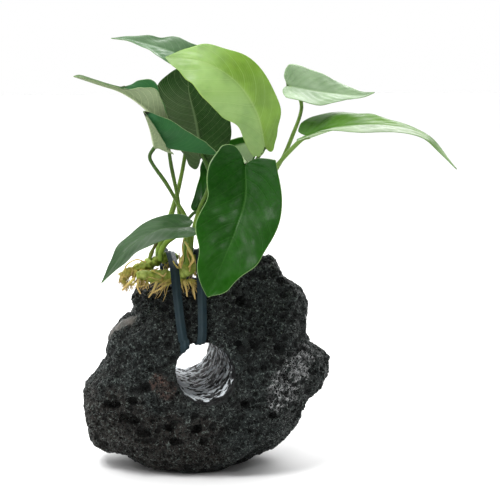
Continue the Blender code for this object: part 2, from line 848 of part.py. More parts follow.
def make_twist(name, across, ring):
    """Make the twisted ends that close a band at the stone's back, to be joined to it."""
    foot = next(
        here.lerp(after, (here.y - TWIST_HEIGHT) / (here.y - after.y))
        for after, here in zip(ring, ring[1:] + ring[:1])
        if here.x + after.x > 0 and (here.y - TWIST_HEIGHT) * (after.y - TWIST_HEIGHT) < 0
    )
    bm = bmesh.new()
    bmesh.ops.create_cube(bm, size=1.0)
    bmesh.ops.scale(bm, vec=(TWIST_SIZE[0], TWIST_SIZE[1], TWIST_LENGTH), verts=bm.verts)
    long_edges = [e for e in bm.edges if abs(e.verts[0].co.z - e.verts[1].co.z) > 1]
    bmesh.ops.subdivide_edges(bm, edges=long_edges, cuts=TWIST_CUTS)
    for vertex in bm.verts:
        share = vertex.co.z / TWIST_LENGTH + 0.5
        turn_by = Matrix.Rotation(2 * math.pi * TWIST_TURNS * share, 3, "Z")
        vertex.co = turn_by @ vertex.co
    lean = Matrix.Rotation(TWIST_LEAN, 4, "X")
    centre = Vector((band_shift(across, foot.y), foot.x, foot.y))
    along = lean @ Vector((0, 0, 1))
    spot = centre + along * (TWIST_LENGTH / 2 - TWIST_SINK)
    bmesh.ops.transform(bm, matrix=Matrix.Translation(spot) @ lean, verts=bm.verts)
    return place(f"{name}_twist", mesh_from(bm, name, False), None, None, cutters, True)


def make_band(name, across, wrapped):
    """Make a closed flat band round the stone's roof over the hole and the rhizomes on it."""
    ring = band_ring(across, wrapped)
    bm = bmesh.new()
    first = [bm.verts.new((band_shift(across, p.y) - BAND_WIDTH / 2, p.x, p.y)) for p in ring]
    edges = [bm.edges.new(pair) for pair in zip(first, first[1:] + first[:1])]
    made = bmesh.ops.extrude_edge_only(bm, edges=edges)
    fresh = [v for v in made["geom"] if isinstance(v, bmesh.types.BMVert)]
    bmesh.ops.translate(bm, vec=(BAND_WIDTH, 0, 0), verts=fresh)
    bottom = min(p.y for p in ring)
    feet = [vertex for vertex in bm.verts if vertex.co.z < bottom + BAND_SLACK]
    lowest = min(roof_height(vertex.co.x) for vertex in feet)
    for vertex in feet:
        vertex.co.z += roof_height(vertex.co.x) - lowest
    bmesh.ops.recalc_face_normals(bm, faces=bm.faces)
    item = place(name, mesh_from(bm, name, False), None, "vinyl")
    thick = item.modifiers.new("thickness", "SOLIDIFY")
    thick.thickness = BAND_THICKNESS * MM
    thick.offset = 1.0
    thick.use_even_offset = True
    join = item.modifiers.new("twist", "BOOLEAN")
    join.operation = "UNION"
    join.object = make_twist(name, across, ring)
    return item


def main():
    """Make the stone, the plant on it and the two bands."""
    frame = bpy.data.objects.new("plant_frame", None)
    parts.objects.link(frame)
    frame.rotation_euler = (0, 0, PLANT_TURN)
    stone = make_stone(frame)
    front, front_cutter = make_rhizome("rhizome_front", FRONT_RHIZOME, frame)
    rear, rear_cutter = make_rhizome("rhizome_rear", REAR_RHIZOME, frame)
    clear_of = (front_cutter, rear_cutter)
    for cutter in clear_of:
        cut(stone, cutter)
    for name, leaf in LEAVES.items():
        make_leaf(name, leaf, frame, clear_of)
    strands = [
        tube("cut_stalk", CUT_STALK, CUT_STALK_RADII, frame, "petiole"),
        tube("arching_root", ARCHING_ROOT, (ARCHING_ROOT_RADIUS,) * 2, frame, "root"),
    ]
    for name, path in DEAD_SHEATHS.items():
        strands.append(tube(name, path, (DEAD_SHEATH_RADIUS,) * 2, frame, "root"))
    for name, path in ROOTS.items():
        strands.append(tube(name, path, ROOT_RADII, frame, "root"))
    for strand in strands:
        for cutter in clear_of:
            cut(strand, cutter)
    for name, across in BANDS.items():
        make_band(name, across, (stone, front, rear))


clear_scene()
parts = new_collection("anubias_on_stone")
cutters = new_collection("cutters")
main()
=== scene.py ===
"""Looks of the anubias plant tied on a drilled lava stone.

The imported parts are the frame. Every finished piece is in metres in the part's frame: the origin
is in the middle of the stone's flat base, +Z is up and the drilled hole runs along +Y. The plant
is laid out in millimetres in its own frame, which is turned by PLANT_TURN about Z, so that its X
axis runs along the stone's broad face. The hole and the two ties are laid out in the part's frame.
"""

import logging
import math
import random
from dataclasses import dataclass, field
from enum import Enum
from typing import Iterable, Sequence

import bmesh
import bpy
import numpy as np
from mathutils import Matrix, Vector, noise
from mathutils.bvhtree import BVHTree
from mathutils.kdtree import KDTree

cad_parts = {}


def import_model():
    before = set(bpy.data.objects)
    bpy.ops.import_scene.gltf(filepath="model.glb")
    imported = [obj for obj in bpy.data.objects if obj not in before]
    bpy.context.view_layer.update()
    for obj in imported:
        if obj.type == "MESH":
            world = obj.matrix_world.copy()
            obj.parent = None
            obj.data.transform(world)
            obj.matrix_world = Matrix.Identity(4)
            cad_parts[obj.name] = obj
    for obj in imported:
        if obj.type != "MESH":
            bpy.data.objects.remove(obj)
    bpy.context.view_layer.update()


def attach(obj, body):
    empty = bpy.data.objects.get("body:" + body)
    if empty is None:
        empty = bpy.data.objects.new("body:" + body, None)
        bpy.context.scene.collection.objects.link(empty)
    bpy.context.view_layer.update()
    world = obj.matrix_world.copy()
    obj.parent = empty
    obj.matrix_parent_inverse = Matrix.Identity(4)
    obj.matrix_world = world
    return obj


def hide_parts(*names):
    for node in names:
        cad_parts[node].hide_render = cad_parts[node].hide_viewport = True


LOG = logging.getLogger("anubias")

Colour = tuple[float, float, float]
Point = tuple[float, float, float]

MM = 0.001
PLANT_TURN = math.radians(-11)
TO_PART = Matrix.Rotation(PLANT_TURN, 4, "Z") @ Matrix.Scale(MM, 4)
BODY = "root"

# How far towards the tip a side vein runs at the margin, as a share of the blade's length, and
# how strongly it curves on its way.
VEIN_LIFT = 0.27
VEIN_CURVE = 1.35


def screen(red: float, green: float, blue: float) -> Colour:
    """Turn a colour as a screen shows it, from 0 to 255, into a linear one.

    Args:
        red: Red part.
        green: Green part.
        blue: Blue part.

    Returns:
        The colour in the renderer's linear values.
    """
    return tuple(((part / 255 + 0.055) / 1.055) ** 2.4 for part in (red, green, blue))


# --------------------------------------------------------------------------------------------
# Shader building
# --------------------------------------------------------------------------------------------

Socket = bpy.types.NodeSocket
Value = float | Colour | Socket


class NodeBoard:
    """A node tree with short calls for the nodes that the finishes use."""

    def __init__(self, tree: bpy.types.NodeTree) -> None:
        """Hold the tree to build in."""
        self.tree = tree

    def node(self, kind: str, **settings: object) -> bpy.types.Node:
        """Add a node.

        Args:
            kind: Its type.
            **settings: The properties to set on it.

        Returns:
            The node.
        """
        made = self.tree.nodes.new(kind)
        for name, value in settings.items():
            setattr(made, name, value)
        return made

    def put(self, target: Socket, value: Value) -> None:
        """Link a socket to this input, or set its value; a colour gets an alpha of 1."""
        if isinstance(value, bpy.types.NodeSocket):
            self.tree.links.new(value, target)
        elif target.type == "RGBA":
            target.default_value = (*value, 1.0)
        else:
            target.default_value = value

    def maths(self, operation: str, first: Value, second: Value = 0.0, clamp: bool = False) -> Socket:
        """Add a Math node.

        Args:
            operation: What it works out.
            first: Its first input.
            second: Its second input.
            clamp: Whether its result is kept from 0 to 1.

        Returns:
            Its result.
        """
        made = self.node("ShaderNodeMath", operation=operation, use_clamp=clamp)
        self.put(made.inputs[0], first)
        self.put(made.inputs[1], second)
        return made.outputs[0]

    def step(self, value: Value, low: float, high: float, start: float = 0.0, end: float = 1.0) -> Socket:
        """Add a smooth step of a value.

        Args:
            value: The value.
            low: Where the step starts.
            high: Where it ends.
            start: The result at `low`.
            end: The result at `high`.

        Returns:
            The result.
        """
        made = self.node("ShaderNodeMapRange", interpolation_type="SMOOTHSTEP")
        for place, given in enumerate((value, low, high, start, end)):
            self.put(made.inputs[place], given)
        return made.outputs[0]

    def mix(self, share: Value, first: Value, second: Value, blend: str = "MIX") -> Socket:
        """Mix two colours.

        Args:
            share: How much of the second colour there is.
            first: The first colour.
            second: The second colour.
            blend: How they are blended.

        Returns:
            The mixed colour.
        """
        made = self.node("ShaderNodeMix", data_type="RGBA", blend_type=blend)
        self.put(made.inputs[0], share)
        self.put(made.inputs[6], first)
        self.put(made.inputs[7], second)
        return made.outputs[2]

    def tint(self, base: Value, mask: Value, share: Value, colour: Value, blend: str = "MIX") -> Socket:
        """Return the base colour, mixed with another by this share of the mask."""
        return self.mix(self.maths("MULTIPLY", mask, share), base, colour, blend)

    def noise(self, where: Socket, scale: float, detail: float = 3.0, rough: float = 0.55) -> Socket:
        """Add a noise texture.

        Args:
            where: The coordinates that it is read at.
            scale: How fine it is: lumps to a unit.
            detail: How many finer layers it has.
            rough: How strong the finer layers are.

        Returns:
            Its grey value.
        """
        made = self.node("ShaderNodeTexNoise")
        self.put(made.inputs["Vector"], where)
        self.put(made.inputs["Scale"], scale)
        self.put(made.inputs["Detail"], detail)
        self.put(made.inputs["Roughness"], rough)
        return made.outputs[0]

    def cells(self, where: Socket, scale: float, feature: str = "F1") -> Socket:
        """Add a Voronoi texture.

        Args:
            where: The coordinates that it is read at.
            scale: How fine it is: cells to a unit.
            feature: What is measured to: F1 for the nearest cell's middle, or its edge.

        Returns:
            The distance.
        """
        made = self.node("ShaderNodeTexVoronoi", feature=feature)
        self.put(made.inputs["Vector"], where)
        self.put(made.inputs["Scale"], scale)
        return made.outputs["Distance"]

    def stretched(self, where: Socket, scale: Point) -> Socket:
        """Scale coordinates by axis, which stretches a texture.

        Args:
            where: The coordinates.
            scale: The factor along each axis.

        Returns:
            The scaled coordinates.
        """
        made = self.node("ShaderNodeMapping")
        self.put(made.inputs["Vector"], where)
        made.inputs["Scale"].default_value = scale
        return made.outputs[0]

    def attribute(self, name: str) -> Socket:
        """Return the value of a mesh attribute."""
        return self.node("ShaderNodeAttribute", attribute_name=name).outputs["Fac"]

    def object_place(self) -> Socket:
        """Return the place on the piece, in metres."""
        return self.node("ShaderNodeTexCoord").outputs["Object"]

    def bump(self, height: Socket, strength: float, distance: float) -> Socket:
        """Bend the normal by a height.

        Args:
            height: The height.
            strength: How strongly it counts.
            distance: How high a height of 1 stands, in metres.

        Returns:
            The bent normal.
        """
        made = self.node("ShaderNodeBump")
        made.inputs["Strength"].default_value = strength
        made.inputs["Distance"].default_value = distance
        self.put(made.inputs["Height"], height)
        return made.outputs[0]

    def group(self, tree: bpy.types.NodeTree, **values: Value) -> bpy.types.Node:
        """Place a node group.

        Args:
            tree: The group's node tree.
            **values: A value for each input, its name with _ for each space.

        Returns:
            The group's node.
        """
        made = self.node("ShaderNodeGroup", node_tree=tree)
        for name, value in values.items():
            self.put(made.inputs[name.replace("_", " ")], value)
        return made


def new_group(name: str, inputs: Sequence[str], outputs: Sequence[str]) -> tuple[NodeBoard, dict, dict]:
    """Start a shader node group.

    Args:
        name: The group's name.
        inputs: Names of its inputs; one named Place is a vector, the others are numbers.
        outputs: Names of its outputs, all numbers.

    Returns:
        The board to build on, its inputs by name and its output sockets by name.
    """
    tree = bpy.data.node_groups.new(name, "ShaderNodeTree")
    for title in inputs:
        kind = "NodeSocketVector" if title == "Place" else "NodeSocketFloat"
        tree.interface.new_socket(title, in_out="INPUT", socket_type=kind)
    for title in outputs:
        tree.interface.new_socket(title, in_out="OUTPUT", socket_type="NodeSocketFloat")
    board = NodeBoard(tree)
    start = board.node("NodeGroupInput")
    end = board.node("NodeGroupOutput")
    return board, {t: start.outputs[t] for t in inputs}, {t: end.inputs[t] for t in outputs}


class Effects:
    """The shader node groups that several finishes share, each built once."""

    def __init__(self) -> None:
        """Build every group."""
        self.veins = self.build_veins()
        self.mottling = self.build_mottling()
        self.fibres = self.build_fibres()
        self.vesicles = self.build_vesicles()

    @staticmethod
    def build_veins() -> bpy.types.NodeTree:
        """Build the veins of a blade: side veins leave the midrib and curve towards the tip.

        Returns:
            The group's node tree.
        """
        board, given, out = new_group(
            "leaf_veins",
            ("Place", "Across", "Along", "Vein Count"),
            ("Midrib", "Veins", "Fine Veins", "Edge", "Right Half"),
        )
        side = board.maths("ABSOLUTE", given["Across"])
        lift = board.maths("MULTIPLY", board.maths("POWER", side, VEIN_CURVE), VEIN_LIFT)
        wander = board.maths("MULTIPLY", board.noise(given["Place"], 90, 2), 0.035)
        line = board.maths("ADD", board.maths("SUBTRACT", given["Along"], lift), wander)
        main = board.maths("PINGPONG", board.maths("MULTIPLY", line, given["Vein Count"]), 0.5)
        fine_count = board.maths("MULTIPLY", given["Vein Count"], 5.0)
        fine = board.maths("PINGPONG", board.maths("MULTIPLY", line, fine_count), 0.5)
        taper = board.step(given["Along"], 0.0, 1.0, 0.05, 0.018)
        rib = board.maths("SUBTRACT", 1.0, board.maths("DIVIDE", side, taper), True)
        board.put(out["Midrib"], board.step(rib, 0.0, 0.7))
        board.put(out["Veins"], board.step(main, 0.0, 0.07, 1.0, 0.0))
        board.put(out["Fine Veins"], board.step(fine, 0.0, 0.45, 1.0, 0.0))
        board.put(out["Edge"], board.step(side, 0.97, 0.998))
        near = board.step(given["Along"], 0.8, 0.55)
        right = board.step(given["Across"], -0.12, 0.12)
        board.put(out["Right Half"], board.maths("MULTIPLY", right, near))
        return board.tree

    @staticmethod
    def build_mottling() -> bpy.types.NodeTree:
        """Build broad and fine changes of tone, for anything that grew.

        Returns:
            The group's node tree.
        """
        board, given, out = new_group("mottling", ("Place", "Size"), ("Broad", "Fine", "Specks"))
        scale = board.maths("DIVIDE", 1.0, given["Size"])
        broad = board.noise(given["Place"], 1.0, 3)
        board.put(broad.node.inputs["Scale"], scale)
        fine = board.noise(given["Place"], 1.0, 4)
        board.put(fine.node.inputs["Scale"], board.maths("MULTIPLY", scale, 6.0))
        specks = board.cells(given["Place"], 1.0)
        board.put(specks.node.inputs["Scale"], board.maths("MULTIPLY", scale, 9.0))
        board.put(out["Broad"], board.step(broad, 0.35, 0.65))
        board.put(out["Fine"], board.step(fine, 0.3, 0.7))
        board.put(out["Specks"], board.step(specks, 0.06, 0.16, 1.0, 0.0))
        return board.tree

    @staticmethod
    def build_fibres() -> bpy.types.NodeTree:
        """Build streaks that run along a stalk, root or tie, from its Along and Around attributes.

        Returns:
            The group's node tree.
        """
        board, given, out = new_group("fibres", ("Along", "Around", "Count"), ("Streaks", "Rings"))
        joined = board.node("ShaderNodeCombineXYZ")
        board.put(joined.inputs[0], board.maths("MULTIPLY", given["Around"], given["Count"]))
        board.put(joined.inputs[1], board.maths("MULTIPLY", given["Along"], 3.0))
        board.put(out["Streaks"], board.step(board.noise(joined.outputs[0], 1.0, 3), 0.35, 0.65))
        crossed = board.node("ShaderNodeCombineXYZ")
        board.put(crossed.inputs[0], board.maths("MULTIPLY", given["Around"], 1.5))
        board.put(crossed.inputs[1], board.maths("MULTIPLY", given["Along"], given["Count"]))
        board.put(out["Rings"], board.step(board.noise(crossed.outputs[0], 1.0, 3), 0.4, 0.7))
        return board.tree

    @staticmethod
    def build_vesicles() -> bpy.types.NodeTree:
        """Build gas bubbles cut through by the surface of lava, in two sizes, the walls between them, and
        specks of painted glint.

        Returns:
            The group's node tree.
        """
        titles = ("Holes", "Walls", "Pinholes", "Glints")
        board, given, out = new_group("vesicles", ("Place", "Scale"), titles)
        wander = board.node("ShaderNodeTexNoise")
        board.put(wander.inputs["Vector"], given["Place"])
        wander.inputs["Scale"].default_value = 420
        bent = board.node("ShaderNodeVectorMath", operation="MULTIPLY_ADD")
        board.put(bent.inputs[0], wander.outputs["Color"])
        bent.inputs[1].default_value = (0.0012, 0.0012, 0.0012)
        board.put(bent.inputs[2], given["Place"])
        large = board.cells(bent.outputs[0], 1.0, "DISTANCE_TO_EDGE")
        board.put(large.node.inputs["Scale"], given["Scale"])
        small = board.cells(bent.outputs[0], 1.0, "DISTANCE_TO_EDGE")
        board.put(small.node.inputs["Scale"], board.maths("MULTIPLY", given["Scale"], 1.9))
        shut = board.noise(given["Place"], 1.0, 2, 0.6)
        board.put(shut.node.inputs["Scale"], board.maths("MULTIPLY", given["Scale"], 0.8))
        shut = board.step(shut, 0.40, 0.66, 0.04, 0.55)
        within = board.maths("SUBTRACT", large, shut)
        glints = board.noise(given["Place"], 1.0, 3, 0.7)
        board.put(glints.node.inputs["Scale"], board.maths("MULTIPLY", given["Scale"], 1.2))
        board.put(out["Holes"], board.step(within, 0.0, 0.10))
        board.put(out["Walls"], board.step(large, 0.0, 0.09, 1.0, 0.0))
        board.put(out["Pinholes"], board.step(small, 0.10, 0.24))
        board.put(out["Glints"], board.step(glints, 0.51, 0.62))
        return board.tree


def new_material(name: str, roughness: Value, specular: float = 0.5) -> tuple[NodeBoard, bpy.types.Node]:
    """Start a material.

    Args:
        name: The material's name.
        roughness: A roughness for the whole surface; a socket can replace it later.
        specular: Level of the mirror-like reflection.

    Returns:
        The board to build on and its Principled BSDF.
    """
    made = bpy.data.materials.new(name)
    made.use_nodes = True
    shader = made.node_tree.nodes["Principled BSDF"]
    shader.inputs["Roughness"].default_value = roughness
    shader.inputs["Specular IOR Level"].default_value = specular
    return NodeBoard(made.node_tree), shader


def let_light_in(shader: bpy.types.Node, weight: float, radius: Point, scale: float) -> None:
    """Let a share of the light spread inside the piece.

    Args:
        shader: The material's Principled BSDF.
        weight: The share of the light.
        radius: How far red, green and blue spread, as shares of the scale.
        scale: How far a share of 1 reaches, in metres.
    """
    shader.inputs["Subsurface Weight"].default_value = weight
    shader.inputs["Subsurface Radius"].default_value = radius
    shader.inputs["Subsurface Scale"].default_value = scale


def owner(shader: bpy.types.Node) -> bpy.types.Material:
    """Return the material that this shader node belongs to."""
    return next(m for m in bpy.data.materials if m.node_tree == shader.id_data)


# --------------------------------------------------------------------------------------------
# Finishes
# --------------------------------------------------------------------------------------------

# Colours that every leaf shares: its dark specks, and tissue that has died off.
SPECK = (0.03, 0.035, 0.01)
SPOILED = (0.012, 0.012, 0.010)


@dataclass(frozen=True)
class LeafFinish:
    """Colours and gloss of one kind of leaf, each half of the upper side with its own tone."""

    slot: str
    name: str
    left: Colour
    right: Colour
    vein: Colour
    under: Colour
    under_vein: Colour
    rim: Colour
    under_right: Colour | None = None
    roughness: float = 0.36
    shine: float = 0.12
    wax: float = 0.1
    # Painted shade: the upper side is multiplied by this colour towards its joint; white leaves it as it
    # is.
    foot: Colour = (1.0, 1.0, 1.0)
    glow: float = 0.03
    vein_count: float = 9.0
    vein_strength: float = 0.25
    midrib: float = 0.3
    specks: float = 0.15

    def materials(self, effects: Effects) -> list[bpy.types.Material]:
        """Return the materials of the upper side, the underside and the rim."""
        return [self.upper(effects), self.lower(effects), self.edge(effects)]

    def upper(self, effects: Effects) -> bpy.types.Material:
        """Make the waxy upper side, with sunken veins.

        Args:
            effects: The shared shader groups.

        Returns:
            The material.
        """
        board, shader = new_material(f"{self.name}_upper", self.roughness, self.shine)
        veins, tones = self.patterns(board, effects, 0.011)
        base = board.mix(veins["Right Half"], self.left, self.right)
        # Painted shade: darkest at the joint, gone halfway along the blade.
        base = board.mix(board.step(board.attribute("along"), 0.5, 0.0), base, self.foot, "MULTIPLY")
        base = board.mix(board.attribute("pale"), base, self.under)
        base = board.tint(base, tones["Broad"], 0.45, (0.42, 0.5, 0.42), "MULTIPLY")
        base = board.tint(base, tones["Fine"], 0.06, self.vein)
        base = board.tint(base, veins["Veins"], self.vein_strength, self.vein)
        base = board.tint(base, veins["Fine Veins"], self.vein_strength * 0.35, self.vein)
        base = board.tint(base, veins["Midrib"], self.midrib, self.vein)
        base = board.tint(base, tones["Specks"], self.specks, SPECK)
        base = board.tint(base, veins["Edge"], 0.6, self.rim)
        base = board.mix(board.attribute("spoiled"), base, SPOILED)
        board.put(shader.inputs["Base Color"], base)
        rough = board.step(tones["Fine"], 0.0, 1.0, self.roughness - 0.06, self.roughness + 0.06)
        board.put(shader.inputs["Roughness"], rough)
        height = board.maths("MULTIPLY", veins["Veins"], -0.2)
        height = board.maths("ADD", height, board.maths("MULTIPLY", veins["Fine Veins"], -0.03))
        height = board.maths("ADD", height, board.maths("MULTIPLY", tones["Fine"], 0.12))
        board.put(shader.inputs["Normal"], board.bump(height, 0.4, 0.0003))
        waxy = board.noise(board.object_place(), 80.0, 2)
        board.put(shader.inputs["Coat Weight"], board.step(waxy, 0.48, 0.62, 0.0, self.wax))
        shader.inputs["Coat Roughness"].default_value = 0.26
        self.soften(shader)
        return owner(shader)

    def lower(self, effects: Effects) -> bpy.types.Material:
        """Make the paler, duller underside, with raised veins.

        Args:
            effects: The shared shader groups.

        Returns:
            The material.
        """
        board, shader = new_material(f"{self.name}_under", self.roughness + 0.16, self.shine)
        veins, tones = self.patterns(board, effects, 0.009)
        base = board.mix(veins["Right Half"], self.under, self.under_right or self.under)
        base = board.tint(base, tones["Broad"], 0.5, (0.55, 0.6, 0.5), "MULTIPLY")
        base = board.tint(base, tones["Fine"], 0.1, self.under_vein)
        base = board.tint(base, veins["Veins"], min(self.vein_strength * 1.8, 0.7), self.under_vein)
        base = board.tint(base, veins["Fine Veins"], self.vein_strength, self.under_vein)
        base = board.tint(base, veins["Midrib"], 0.8, self.under_vein)
        base = board.mix(board.attribute("spoiled"), base, SPOILED)
        board.put(shader.inputs["Base Color"], base)
        height = board.maths("ADD", veins["Veins"], veins["Fine Veins"])
        board.put(shader.inputs["Normal"], board.bump(height, 0.4, 0.0003))
        self.soften(shader)
        return owner(shader)

    def edge(self, effects: Effects) -> bpy.types.Material:
        """Make the thin pale rim.

        Args:
            effects: The shared shader groups.

        Returns:
            The material.
        """
        board, shader = new_material(f"{self.name}_rim", self.roughness + 0.1, self.shine)
        tones = board.group(effects.mottling, Place=board.object_place(), Size=0.004)
        share = board.maths("MULTIPLY", tones.outputs["Broad"], 0.6)
        board.put(shader.inputs["Base Color"], board.mix(share, self.rim, self.left))
        self.soften(shader)
        return owner(shader)

    def patterns(self, board: NodeBoard, effects: Effects, size: float) -> tuple:
        """Add the veins and the mottling to a material.

        Args:
            board: The board to build on.
            effects: The shared shader groups.
            size: Size of the mottling, in metres.

        Returns:
            The outputs of the veins, and those of the mottling.
        """
        place = board.object_place()
        across, along = board.attribute("across"), board.attribute("along")
        veins = board.group(
            effects.veins, Place=place, Across=across, Along=along, Vein_Count=self.vein_count
        )
        return veins.outputs, board.group(effects.mottling, Place=place, Size=size).outputs

    def soften(self, shader: bpy.types.Node) -> None:
        """Let some light through the leaf."""
        let_light_in(shader, self.glow, (0.4, 1.0, 0.2), 0.0015)


@dataclass(frozen=True)
class StalkFinish:
    """Colours of a stalk, rhizome or root, from its start to its end."""

    slot: str
    name: str
    start: Colour
    end: Colour
    stain: Colour
    roughness: float = 0.45
    streaks: float = 24.0
    stained: float = 0.35
    ringed: float = 0.0
    glow: float = 0.05
    aged: Colour = screen(146, 126, 50)
    swollen: Colour = screen(186, 200, 122)

    def material(self, effects: Effects) -> bpy.types.Material:
        """Make the material, with streaks along the piece and stains on it.

        Args:
            effects: The shared shader groups.

        Returns:
            The material.
        """
        board, shader = new_material(self.name, self.roughness, 0.2)
        along, around = board.attribute("along"), board.attribute("around")
        fibres = board.group(effects.fibres, Along=along, Around=around, Count=self.streaks).outputs
        tones = board.group(effects.mottling, Place=board.object_place(), Size=0.0035).outputs
        base = board.mix(board.step(along, 0.05, 0.95), self.start, self.end)
        base = board.tint(base, fibres["Streaks"], 0.4, (0.5, 0.55, 0.45), "MULTIPLY")
        base = board.tint(base, tones["Broad"], self.stained, self.stain)
        if self.ringed:
            base = board.tint(base, fibres["Rings"], self.ringed, self.stain)
        base = board.tint(base, board.attribute("old"), 0.85, self.aged)
        base = board.tint(base, board.attribute("knob"), 0.4, self.swollen)
        board.put(shader.inputs["Base Color"], base)
        rough = board.step(tones["Fine"], 0.0, 1.0, self.roughness - 0.1, self.roughness + 0.15)
        board.put(shader.inputs["Roughness"], rough)
        height = board.maths("ADD", fibres["Streaks"], tones["Fine"])
        board.put(shader.inputs["Normal"], board.bump(height, 0.35, 0.0003))
        let_light_in(shader, self.glow, (0.6, 0.9, 0.2), 0.001)
        return owner(shader)


@dataclass(frozen=True)
class LavaFinish:
    """Colours of the lava: its ground, its painted glints, the painted shade in its holes, and the few
    patches that differ.
    """

    slot: str = "lava"
    ground: Colour = screen(23, 34, 32)
    brown: Colour = screen(34, 28, 21)
    # Light grey of the specks that paint glints onto the walls between bubbles.
    painted_glint: Colour = screen(124, 136, 130)
    rust: Colour = screen(86, 60, 50)
    worn: Colour = screen(176, 178, 178)
    glassy: Colour = screen(84, 78, 72)
    drilled: Colour = screen(206, 212, 216)
    # Near black for painted shade: inside bubbles, pits and the drilled hole.
    hollow_shade: Colour = (0.001, 0.001, 0.001)

    def material(self, effects: Effects) -> bpy.types.Material:
        """Make the material of the whole stone.

        Args:
            effects: The shared shader groups.

        Returns:
            The material.
        """
        board, shader = new_material("lava_rock", 0.55, 0.3)
        place = board.object_place()
        foam = board.group(effects.vesicles, Place=place, Scale=820.0).outputs
        tones = board.group(effects.mottling, Place=place, Size=0.012).outputs
        pore, bore = board.attribute("pore"), board.attribute("bore")
        glassy = board.attribute("glassy")
        brownish = board.maths("MULTIPLY", board.attribute("brown"), 0.8)
        brownish = board.maths("ADD", brownish, board.maths("MULTIPLY", tones["Broad"], 0.2))
        base = board.mix(brownish, self.ground, self.brown)
        # Painted highlights: specks of light grey, most on the walls between bubbles, for the glints that
        # sparkle there.
        bright = board.maths("MULTIPLY", foam["Glints"], foam["Walls"])
        bright = board.maths("ADD", board.maths("MULTIPLY", foam["Glints"], 0.35), bright, True)
        base = board.mix(bright, base, self.painted_glint)
        broken = board.step(tones["Fine"], 0, 1, 0.2, 0.9)
        base = board.tint(base, board.attribute("rust"), broken, self.rust)
        base = board.mix(self.scuffed(board, place, foam["Pinholes"]), base, self.worn)
        # Painted shade: bubbles, pinholes, pores and pits are filled with near black, away from the drilled
        # wall and the glassy facet.
        rocky = board.maths("SUBTRACT", 1.0, board.maths("MAXIMUM", bore, glassy))
        pins = board.maths("MULTIPLY", foam["Pinholes"], 0.75)
        dark = board.maths("MULTIPLY", board.maths("MAXIMUM", foam["Holes"], pins), rocky)
        dark = board.maths("MAXIMUM", dark, board.maths("MULTIPLY", pore, 0.8))
        base = board.mix(dark, base, self.hollow_shade)
        streaks = board.noise(board.stretched(place, (240, 90, 420)), 1.0, 3)
        base = board.tint(base, glassy, board.step(streaks, 0.35, 0.7, 0.45, 1.0), self.glassy)
        # Painted shade: the drilled wall is near black between its torn white dashes.
        wall = board.mix(self.torn_wall(board, place), self.hollow_shade, self.drilled)
        base = board.mix(bore, base, wall)
        board.put(shader.inputs["Base Color"], base)
        rough = board.step(bright, 0.0, 0.8, 0.62, 0.3)
        board.put(shader.inputs["Roughness"], board.maths("MAXIMUM", rough, dark))
        height = board.maths("SUBTRACT", board.maths("MULTIPLY", foam["Glints"], 0.8), dark)
        height = board.maths("MULTIPLY", height, rocky)
        board.put(shader.inputs["Normal"], board.bump(height, 1.0, 0.0006))
        return owner(shader)

    @staticmethod
    def scuffed(board: NodeBoard, place: Socket, pinholes: Socket) -> Socket:
        """Return where the stone is worn white: in scratches, closer together where it is worn most.

        Args:
            board: The board to build on.
            place: The place on the piece.
            pinholes: Where the finest bubbles are, which stay darker.

        Returns:
            1 where the stone is worn white, and 0 where it isn't.
        """
        slanted = board.node("ShaderNodeMapping", vector_type="TEXTURE")
        board.put(slanted.inputs["Vector"], place)
        slanted.inputs["Rotation"].default_value = (0.0, math.radians(35), 0.0)
        slanted.inputs["Scale"].default_value = (0.0010, 0.0010, 0.0050)
        scratches = board.noise(slanted.outputs[0], 1.0, 4, 0.7)
        worn = board.attribute("worn")
        share = board.maths("ADD", scratches, board.maths("MULTIPLY", worn, 0.13))
        share = board.maths("MULTIPLY", board.step(share, 0.58, 0.68), worn)
        return board.maths("MULTIPLY", share, board.step(pinholes, 0, 1, 1.0, 0.5))

    @staticmethod
    def torn_wall(board: NodeBoard, place: Socket) -> Socket:
        """Return where the drilled wall is torn white: in dashes round it, closer on its left, which paints
        light onto that side.

        Args:
            board: The board to build on.
            place: The place on the piece.

        Returns:
            1 where the wall is torn white, and 0 where it is dark.
        """
        axes = board.node("ShaderNodeSeparateXYZ")
        board.put(axes.inputs[0], place)
        side = board.maths("SUBTRACT", axes.outputs[0], HOLE_MIDDLE[0] * MM)
        rise = board.maths("SUBTRACT", axes.outputs[2], HOLE_MIDDLE[1] * MM)
        turn = board.maths("ARCTAN2", rise, side)
        rolled = board.node("ShaderNodeCombineXYZ")
        board.put(rolled.inputs[0], board.maths("MULTIPLY", turn, HOLE_RADIUS * MM))
        board.put(rolled.inputs[1], axes.outputs[1])
        dashes = board.noise(board.stretched(rolled.outputs[0], (150, 330, 1)), 1.0, 4, 0.6)
        # Painted light: more dashes on the hole's left side, which is lighter.
        left = board.step(side, 0.004, -0.007, -0.01, 0.07)
        mouth = board.step(board.attribute("depth"), 0.0, 0.9, -0.2, 0.0)
        share = board.maths("ADD", board.maths("ADD", dashes, left), mouth)
        return board.step(share, 0.51, 0.53)


